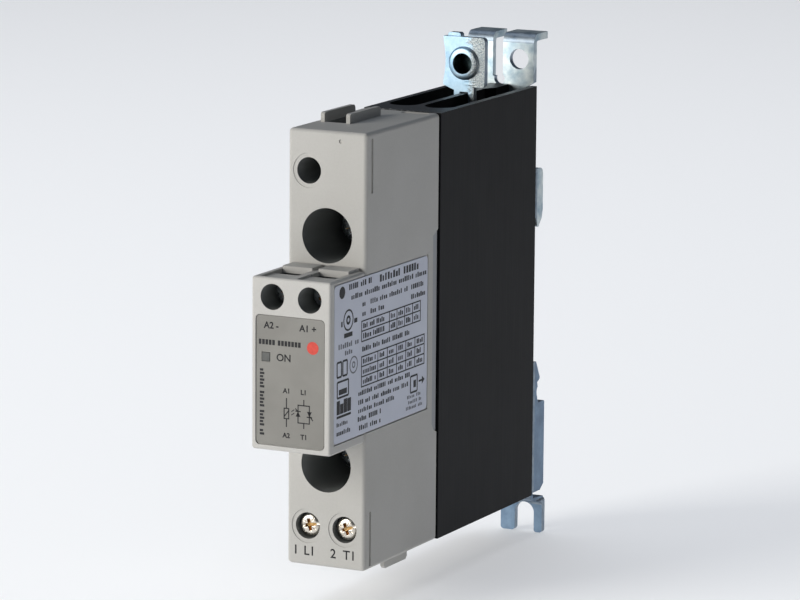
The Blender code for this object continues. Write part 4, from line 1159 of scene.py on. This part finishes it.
# --- Module screws and washers ------------------------------------------------------------------------
# Two long screws press the module onto the heatsink, each through a split spring washer and a wide flat
# washer. They lie deep in the two large holes, where only a bright edge shows.
for level, z in MODULE_SCREWS.items():
    at = (0, HOUSING_FRONT, z)
    profile = [(0, 12.6), (2.4, 12.65), (3.1, 12.85), (3.45, 13.3), (3.5, 13.8), (3.5, 15.2), (2.0, 15.2)]
    profile += [(2.0, 37.6), (1.6, 38.6), (0, 38.6)]
    tools = combination_head((0, 0, z), 30, 3.5, HOUSING_FRONT + 12.6, 1.35)
    screw_mesh = carve(lathe_mesh(profile, at, 56), tools, bevel=0.06, segments=2, angle=45)
    screw = mesh_object("module_screw_head_" + level, screw_mesh, bright_zinc, yellowed)
    tint_recess(screw_mesh, at, 1.8, HOUSING_FRONT + 12.6)
    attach(screw, "relay_body")
    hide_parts("module_screw_" + level)
    for kind, radius, start, split in (("spring_washer", 3.6, 15.5, True), ("flat_washer", 4.5, 16.7, False)):
        ring = [(2.35, start), (radius - 0.1, start), (radius, start + 0.1), (radius, start + 0.8),
                (radius - 0.1, start + 0.9), (2.35, start + 0.9)]
        gap = prism_mesh([(1.6, -0.15), (4.6, 0.15), (4.6, 0.65), (1.6, 0.35)], "XZ", start - 1, start + 2)
        gap.transform(Matrix.Translation(Vector(at) * MM))
        washer_mesh = carve(lathe_mesh(ring, at, 56), [gap] if split else [])
        washer = mesh_object(f"{kind}_ring_{level}", washer_mesh, bright_zinc)
        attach(washer, "relay_body")
        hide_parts(f"{kind}_{level}")

# --- Inner parts ------------------------------------------------------------------------------------
# What lies behind the mouldings keeps its plain shape: cages, busbars, contacts, board and chips.
# Each gets the finish of the stuff it is made of.
cage_zinc, _, _ = plated_steel("zinc_plated_cage_steel", "#98A1A8", "#C6CCD0", 0.36, 0.5, 0.02)
tinned, tree, shader = new_material("tinned_copper_strip", Metallic=1.0, Roughness=0.34)
two_tones(tree, shader, mottle(tree, 0.7, 4.0), "#B98B68", "#D3AE8C")
surface_bump(tree, shader, mottle(tree, 4.0, 3.0, 0.6, stretch=(1, 0.1, 1)), 0.012)


def plain_finish(name, low, high, rough, per_mm, bump_mm, metal=0.0):
    """A simple two-tone finish with its own grain size and depth."""
    made, tree, shader = new_material(name, Roughness=rough, Metallic=metal)
    grain = mottle(tree, per_mm, 4.0, 0.6)
    two_tones(tree, shader, grain, low, high, 0.32, 0.68)
    surface_bump(tree, shader, grain, bump_mm)
    return made


finishes = {
    # Silicone pad: pale blue-grey, dull and slightly pebbled.
    plain_finish("silicone_thermal_pad", "#8E9AA8", "#A2AEBB", 0.75, 1.5, 0.03): ["thermal_pad"],
    # Alumina: chalk white with a faint grain, hardly any gloss.
    plain_finish("alumina_ceramic", "#DAD8D2", "#E9E7E2", 0.6, 3.0, 0.01): ["ceramic_substrate"],
    # Silicon chip under gel: dark, smooth and slightly blue.
    plain_finish("passivated_silicon", "#3A3F4B", "#4B5160", 0.2, 0.8, 0.004):
        ["thyristor_left", "thyristor_right"],
    # Glass-epoxy board: green lacquer with the weave just showing through.
    plain_finish("glass_epoxy_circuit_board", "#22583A", "#2E6B49", 0.45, 1.8, 0.012): ["control_board"],
    # Moulded epoxy: near black with a fine eroded grain.
    plain_finish("moulded_epoxy_black", "#1D1D1F", "#29292B", 0.55, 4.0, 0.012): ["optocoupler"],
    # Dipped resin: warm beige with a soft gloss.
    plain_finish("dipped_resin_beige", "#B79C6D", "#C9AF82", 0.4, 0.9, 0.02):
        ["snubber_capacitor", "snubber_resistor"],
    # Diffused red epoxy, as on any small lamp.
    plain_finish("diffused_red_epoxy", "#A52820", "#BD3A30", 0.3, 1.5, 0.004): ["indicator_led"],
    nickel: ["gate_pin_left", "gate_pin_right"],
    cage_zinc: ["power_clamp_left", "power_clamp_right", "control_clamp_left", "control_clamp_right"],
    tinned: ["power_busbar_left", "power_busbar_right", "control_contact_left", "control_contact_right"],
}
for finish, names in finishes.items():
    for name in names:
        for material_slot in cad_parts[name].material_slots:
            material_slot.material = finish
